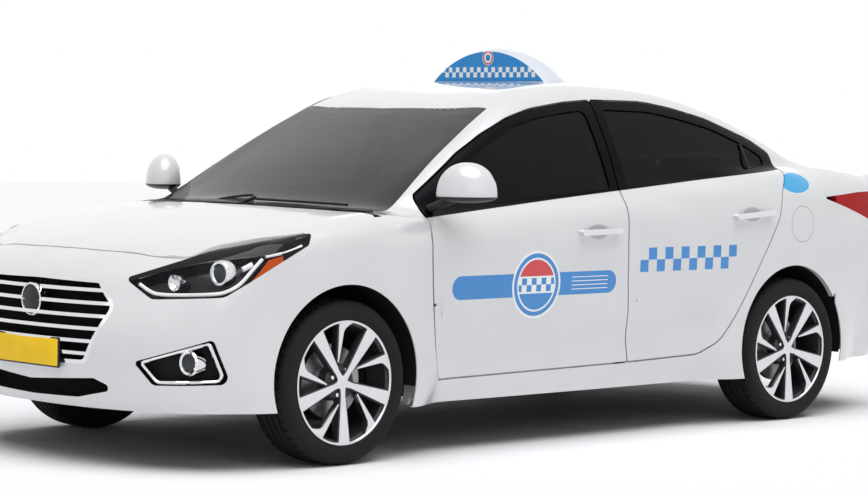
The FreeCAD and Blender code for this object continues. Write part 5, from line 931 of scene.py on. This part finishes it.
def hingeSkin(name):
    # thin painted skin over the place where the lower hinge's room comes to the door's surface
    k, place = skinSizes, skinSizes[name]
    door = tree(f"door_{name}_left")

    def skinY(x, height):
        return struck(door, (x, -3.0, place["z"] + height), (0, 1, 0), (x, 0, 0)).y

    def smoothY(x, up):
        # curve through the sound surface below and above
        total = 0.0
        for height in k["heights"]:
            rest = [other for other in k["heights"] if other != height]
            total += skinY(x, height) * math.prod((up - other) / (height - other) for other in rest)
        return total
    start, end = place["x"] - place["ahead"], place["x"] + place["behind"]
    while not all(skinY(start, height) for height in k["heights"]):
        start += k["step"]
    bm = bmesh.new()
    bmesh.ops.create_grid(bm, x_segments=12, y_segments=8, size=1.0)

    def spot(u, v, w):
        x, up = start + (u + 1) / 2 * (end - start), v * k["half"]
        return x, smoothY(x, up) - k["proud"], place["z"] + up
    bent(bm, spot)
    bmesh.ops.reverse_faces(bm, faces=[f for f in bm.faces if f.normal.y > 0])
    bmesh.ops.solidify(bm, geom=bm.faces[:], thickness=k["wall"])
    return bm


for name, material in (("front", paintFront), ("rear", paintRear)):
    for side, sign in (("left", 1), ("right", -1)):
        skin = bent(hingeSkin(name), lambda x, y, z: (x, sign * y, z))
        shown(skin, f"hingeSkin_{name}_{side}", material, f"door_{name}_{side}")


wiperSizes = {"radius": 0.007, "thin": 0.75, "armLift": 0.016, "rubberLift": 0.010,
              "wiperLeft": [(-1.225, 0.10), (-1.185, -0.10), (-1.150, -0.36), (-1.110, -0.56)],
              "wiperRight": [(-1.205, 0.52), (-1.195, 0.40), (-1.160, 0.15), (-1.135, -0.02)]}


def alongTop(points, lift):
    return [(x, y, topZ(x, y) + lift) for x, y in points]


def wiper(name):
    w = wiperSizes
    arm = tube(alongTop(w[name][:2], w["armLift"]), w["radius"])
    rubber = tube(alongTop(w[name][1:], w["rubberLift"]), w["radius"] * w["thin"])
    shown(joined([arm, rubber]), name, blackPlastic, "body")


wiper("wiperLeft")
wiper("wiperRight")


mirrorSizes = {"centre": (-0.835, -0.934, 0.996), "reach": (0.092, 0.1045, 0.128), "below": 0.026,
               "flat": 0.036, "square": 0.93, "edge": 0.994, "sweep": 0.30,
               "armStart": (-0.850, -0.880, 0.984),
               "armEnd": (-0.880, -0.772, 0.944), "armRadius": 0.017, "glassHalf": (0.086, 0.046),
               "glassZ": 1.036, "glassGap": 0.0012, "glassSquare": 0.6, "glassThick": 0.002}
barSizes = {"points": [(1.004, -0.716, 1.196), (1.009, -0.742, 1.140), (1.012, -0.764, 1.086)],
            "radius": 0.006}


def mirrorLook():
    look = Look("mirrorPaint")
    patch = look.noise(grains["mirrorPatch"], 2.0)
    upper = look.z.above(mirrorSizes["edge"], 0.001)
    white = look.mix(patch, paintTones["white"], paintTones["shade"])
    color = look.mix(upper, paintTones["black"], white)
    return look.finish(color=color, rough=0.45 - upper * 0.2, coat=upper, coatRough=0.03,
                       normal=look.bump(look.noise(300.0), 0.00008, 0.2))


def mirrorCap():
    # boxy dome, flat where its glass sits
    m = mirrorSizes
    bm = bmesh.new()
    bmesh.ops.create_uvsphere(bm, u_segments=48, v_segments=32, radius=1.0)

    def place(x, y, z):
        x, y, z = [math.copysign(abs(v) ** m["square"], v) for v in (x, y, z)]
        x = min(x * m["reach"][0], m["flat"])
        y *= m["reach"][1]
        z *= m["reach"][2] if z > 0 else m["below"]
        return m["centre"][0] + x - y * m["sweep"], m["centre"][1] + y, m["centre"][2] + z
    return bent(bm, place)


def mirrorPane():
    m = mirrorSizes
    bm = bmesh.new()
    bmesh.ops.create_circle(bm, cap_ends=True, segments=48, radius=1.0)
    spot = (m["centre"][0] + m["flat"] + m["glassGap"], m["centre"][1], m["glassZ"])

    def place(x, y, z):
        x, y = [math.copysign(abs(v) ** m["glassSquare"], v) for v in (x, y)]
        across = x * m["glassHalf"][0]
        return spot[0] - across * m["sweep"], spot[1] + across, spot[2] + y * m["glassHalf"][1]
    bent(bm, place)
    bmesh.ops.solidify(bm, geom=bm.faces[:], thickness=m["glassThick"])
    return bm


mirrorPaint = mirrorLook()
for side, sign in (("left", 1), ("right", -1)):
    body = f"door_front_{side}"
    flip = lambda x, y, z: (x, sign * y, z)
    cap = shown(bent(mirrorCap(), flip), f"mirrorCap_{side}", mirrorPaint, body, 0.9)
    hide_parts(f"mirror_{side}")
    arm = tube([mirrorSizes["armStart"], mirrorSizes["armEnd"]], mirrorSizes["armRadius"])
    shown(bent(arm, flip), f"mirrorArm_{side}", blackPlastic, body)
    shown(bent(mirrorPane(), flip), f"mirrorPane_{side}", mirrorGlass, body)
    bar = tube(barSizes["points"], barSizes["radius"])
    shown(bent(bar, flip), f"quarterBar_{side}", glossBlack, f"door_rear_{side}")


signSizes = {"half": 0.376, "base": 1.43, "rise": 0.156, "low": 1.450, "facing": 0.45, "facingSoft": 0.08,
             "checkLow": 1.468, "checkSize": 0.022, "checkHalf": 0.286, "discZ": 1.552, "discRadius": 0.033,
             "ring": (0.70, 0.92), "core": 0.42, "discSoft": 0.04, "blue": (0.0, 0.24, 0.62),
             "shell": (0.70, 0.73, 0.78), "shellDim": (0.62, 0.66, 0.72)}


def signLook():
    # blue faces with a row of squares and a small plain disc; the shell round them stays pale
    look = Look("roofSignFaces")
    g = signSizes
    nx, ny, nz = look.facing()
    reach = ((look.y / g["half"]) ** 2 + ((look.z - g["base"]) / g["rise"]) ** 2) ** 0.5
    flat = abs(nx).above(g["facing"], g["facingSoft"])
    face = flat * reach.below(1.0, 0.01) * look.z.above(g["low"], 0.002)
    column = (look.y / g["checkSize"] + 100.0).maths("FLOOR")
    row = ((look.z - g["checkLow"]) / g["checkSize"] + 100.0).maths("FLOOR")
    odd = (column + row).maths("FLOORED_MODULO", 2.0)
    rows = look.z.within(g["checkLow"], g["checkLow"] + 2 * g["checkSize"], 0.0008)
    checks = flat * odd * rows * abs(look.y).below(g["checkHalf"], 0.0008)
    disc = ((look.y ** 2 + (look.z - g["discZ"]) ** 2) ** 0.5) / g["discRadius"]
    patch = look.noise(grains["signPatch"], 2.0)
    color = look.mix(face, look.mix(patch, g["shell"], g["shellDim"]), g["blue"])
    color = look.mix(checks, color, paintTones["paper"])
    color = look.mix(flat * disc.below(1.0, g["discSoft"]), color, paintTones["paper"])
    color = look.mix(flat * disc.within(*g["ring"], g["discSoft"]), color, paintTones["red"])
    color = look.mix(flat * disc.below(g["core"], g["discSoft"]), color, paintTones["blue"])
    return look.finish(color=color, rough=0.28 + patch * 0.1,
                       normal=look.bump(look.noise(500.0), 0.00005, 0.3))


print("cabin")


cushionSizes = {"voxel": 0.014, "soft": 0.6, "rounds": 8, "slack": 1e-4, "fill": 0.7}


def cushion(name, source, low, high):
    # rounded copy of the part of a CAD seat that lies in a box
    k = cushionSizes
    bm = nodeMesh(source)
    gone = [v for v in bm.verts
            if not all(low[i] - k["slack"] <= v.co[i] <= high[i] + k["slack"] for i in range(3))]
    bmesh.ops.delete(bm, geom=gone, context="VERTS")
    piece = shown(bm, name, seatCloth, "body")
    remesh = piece.modifiers.new("remesh", "REMESH")
    remesh.mode = "VOXEL"
    remesh.voxel_size = k["voxel"]
    soft = piece.modifiers.new("soft", "SMOOTH")
    soft.factor, soft.iterations = k["soft"], k["rounds"]
    graph = bpy.context.evaluated_depsgraph_get()
    mesh = bpy.data.meshes.new_from_object(piece.evaluated_get(graph))
    piece.modifiers.clear()
    piece.data = mesh
    for polygon in mesh.polygons:
        polygon.use_smooth = True
    mesh.materials.clear()
    mesh.materials.append(seatCloth)
    return piece


seatLow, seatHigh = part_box("front_seats")
leftSeat = cushion("seatFrontLeft", "front_seats", seatLow, (seatHigh.x, 0.0, seatHigh.z))
cushion("seatFrontRight", "front_seats", (seatLow.x, 0.0, seatLow.z), seatHigh)
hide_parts("front_seats")
bench = cushion("seatRear", "rear_seat", *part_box("rear_seat"))
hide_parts("rear_seat")


print("CAD nodes")


def both(name):
    return [f"{name}_left", f"{name}_right"]


nodeLooks = {paintSide: both("body_side"), paintFront: both("door_front"), paintRear: both("door_rear"),
             paintPlain: [*both("fender"), "front_bumper", "hood", "rear_bumper"],
             paintLid: ["trunk_lid"], paintRoof: ["roof_panel"],
             screenGlass: ["windscreen"],
             cabinGlass: [*both("window_front"), *both("window_rear"), "rear_window"],
             chrome: ["grille"], redLens: ["taillamps"],
             blackPlastic: ["cowl_panel", "parcel_shelf", "steering_wheel"],
             darkLining: ["dashboard", "wheel_liners"], noseShadowLining: ["front_structure"],
             steelPaint: ["floor_pan", "subframe", "rear_axle", "fuel_tank"],
             castMetal: ["engine_block", *both("knuckle")],
             bareSteel: ["exhaust"], signLook(): ["roof_sign"]}
nodeCrease = 0.45

for material, names in nodeLooks.items():
    for name in names:
        dressed(name, material)
        nodes[name].data.shade_smooth()
        nodes[name].data.set_sharp_from_angle(angle=nodeCrease)


print("light, floor and camera")


lightSizes = {"aim": (0.0, 0.0, 0.7), "skylight": ((0.16, 0.26, -1.0), 60.0, 2.75),
              "leftFill": ((-3.5, -7.5, 3.2), (7.0, 2.5), 38.0),
              "frontFill": ((-8.5, 0.5, 2.6), (4.0, 2.2), 8.0),
              "rearFill": ((7.0, 5.0, 3.5), (5.0, 3.0), 40.0)}
skySizes = {"dim": ((0.80, 0.82, 0.86, 1.0), 0.28), "bright": ((1.0, 1.0, 1.0, 1.0), 1.0)}


def softLight(name):
    place, size, power = lightSizes[name]
    data = bpy.data.lights.new(name, "AREA")
    data.shape = "RECTANGLE"
    data.size, data.size_y = size
    data.energy = power
    lamp = bpy.data.objects.new(name, data)
    bpy.context.scene.collection.objects.link(lamp)
    lamp.location = place
    lamp.rotation_euler = (Vector(lightSizes["aim"]) - Vector(place)).to_track_quat("-Z", "Y").to_euler()
    lamp.visible_camera = False


def softSun(name):
    direction, spread, power = lightSizes[name]
    data = bpy.data.lights.new(name, "SUN")
    data.angle = math.radians(spread)
    data.energy = power
    lamp = bpy.data.objects.new(name, data)
    bpy.context.scene.collection.objects.link(lamp)
    lamp.rotation_euler = Vector(direction).to_track_quat("-Z", "Y").to_euler()


softSun("skylight")
for name in ("leftFill", "frontFill", "rearFill"):
    softLight(name)

world = bpy.data.worlds.new("studio")
bpy.context.scene.world = world
world.use_nodes = True
wires = world.node_tree
wires.nodes.clear()


def backdrop(kind):
    made = wires.nodes.new("ShaderNodeBackground")
    made.inputs["Color"].default_value, made.inputs["Strength"].default_value = skySizes[kind]
    return made.outputs[0]


def eitherOf(first, second):
    made = wires.nodes.new("ShaderNodeMath")
    made.operation = "MAXIMUM"
    wires.links.new(first, made.inputs[0])
    wires.links.new(second, made.inputs[1])
    return made.outputs[0]


# the sky seen directly, mirrored or through glass is bright, the light that it gives is dim
rays = wires.nodes.new("ShaderNodeLightPath").outputs
seen = eitherOf(eitherOf(rays["Is Camera Ray"], rays["Is Glossy Ray"]), rays["Is Transmission Ray"])
blendIn = wires.nodes.new("ShaderNodeMixShader")
skyOut = wires.nodes.new("ShaderNodeOutputWorld")
for source, target in zip((seen, backdrop("dim"), backdrop("bright")), blendIn.inputs):
    wires.links.new(source, target)
wires.links.new(blendIn.outputs[0], skyOut.inputs[0])

floorSizes = {"radius": 40.0, "sides": 96, "patch": 0.6, "pale": (0.90, 0.90, 0.91),
              "grey": (0.87, 0.87, 0.88)}
floorLook = Look("paleFloor")
floorPatch = floorLook.noise(floorSizes["patch"], 2.0)
floorColor = floorLook.mix(floorPatch, floorSizes["pale"], floorSizes["grey"])
floorPaint = floorLook.finish(color=floorColor, rough=0.9, specular=0.1,
                              normal=floorLook.bump(floorLook.noise(120.0), 0.0002, 0.1))
floorMesh = bmesh.new()
bmesh.ops.create_circle(floorMesh, cap_ends=True, segments=floorSizes["sides"],
                        radius=floorSizes["radius"])
floor = shown(floorMesh, "floor", floorPaint, None)

cameraSizes = {"place": (-7.9407, -8.2919, 1.2877), "yaw": 43.3123, "pitch": -2.7443, "roll": 0.7648,
               "lens": 111.84, "sensor": 36.0, "reach": 200.0}
yaw, pitch, roll = [math.radians(cameraSizes[k]) for k in ("yaw", "pitch", "roll")]
forward = Vector((math.cos(pitch) * math.sin(yaw), math.cos(pitch) * math.cos(yaw), math.sin(pitch)))
right = forward.cross(Vector((0, 0, 1))).normalized()
upward = right.cross(forward)
across = right * math.cos(roll) + upward * math.sin(roll)
above = upward * math.cos(roll) - right * math.sin(roll)
cameraData = bpy.data.cameras.new("camera")
cameraData.lens = cameraSizes["lens"]
cameraData.sensor_width = cameraSizes["sensor"]
cameraData.clip_end = cameraSizes["reach"]
camera = bpy.data.objects.new("camera", cameraData)
bpy.context.scene.collection.objects.link(camera)
facing = Matrix((across, above, -forward)).transposed().to_4x4()
camera.matrix_world = Matrix.Translation(cameraSizes["place"]) @ facing
bpy.context.scene.camera = camera
bpy.context.scene.view_settings.view_transform = "Standard"
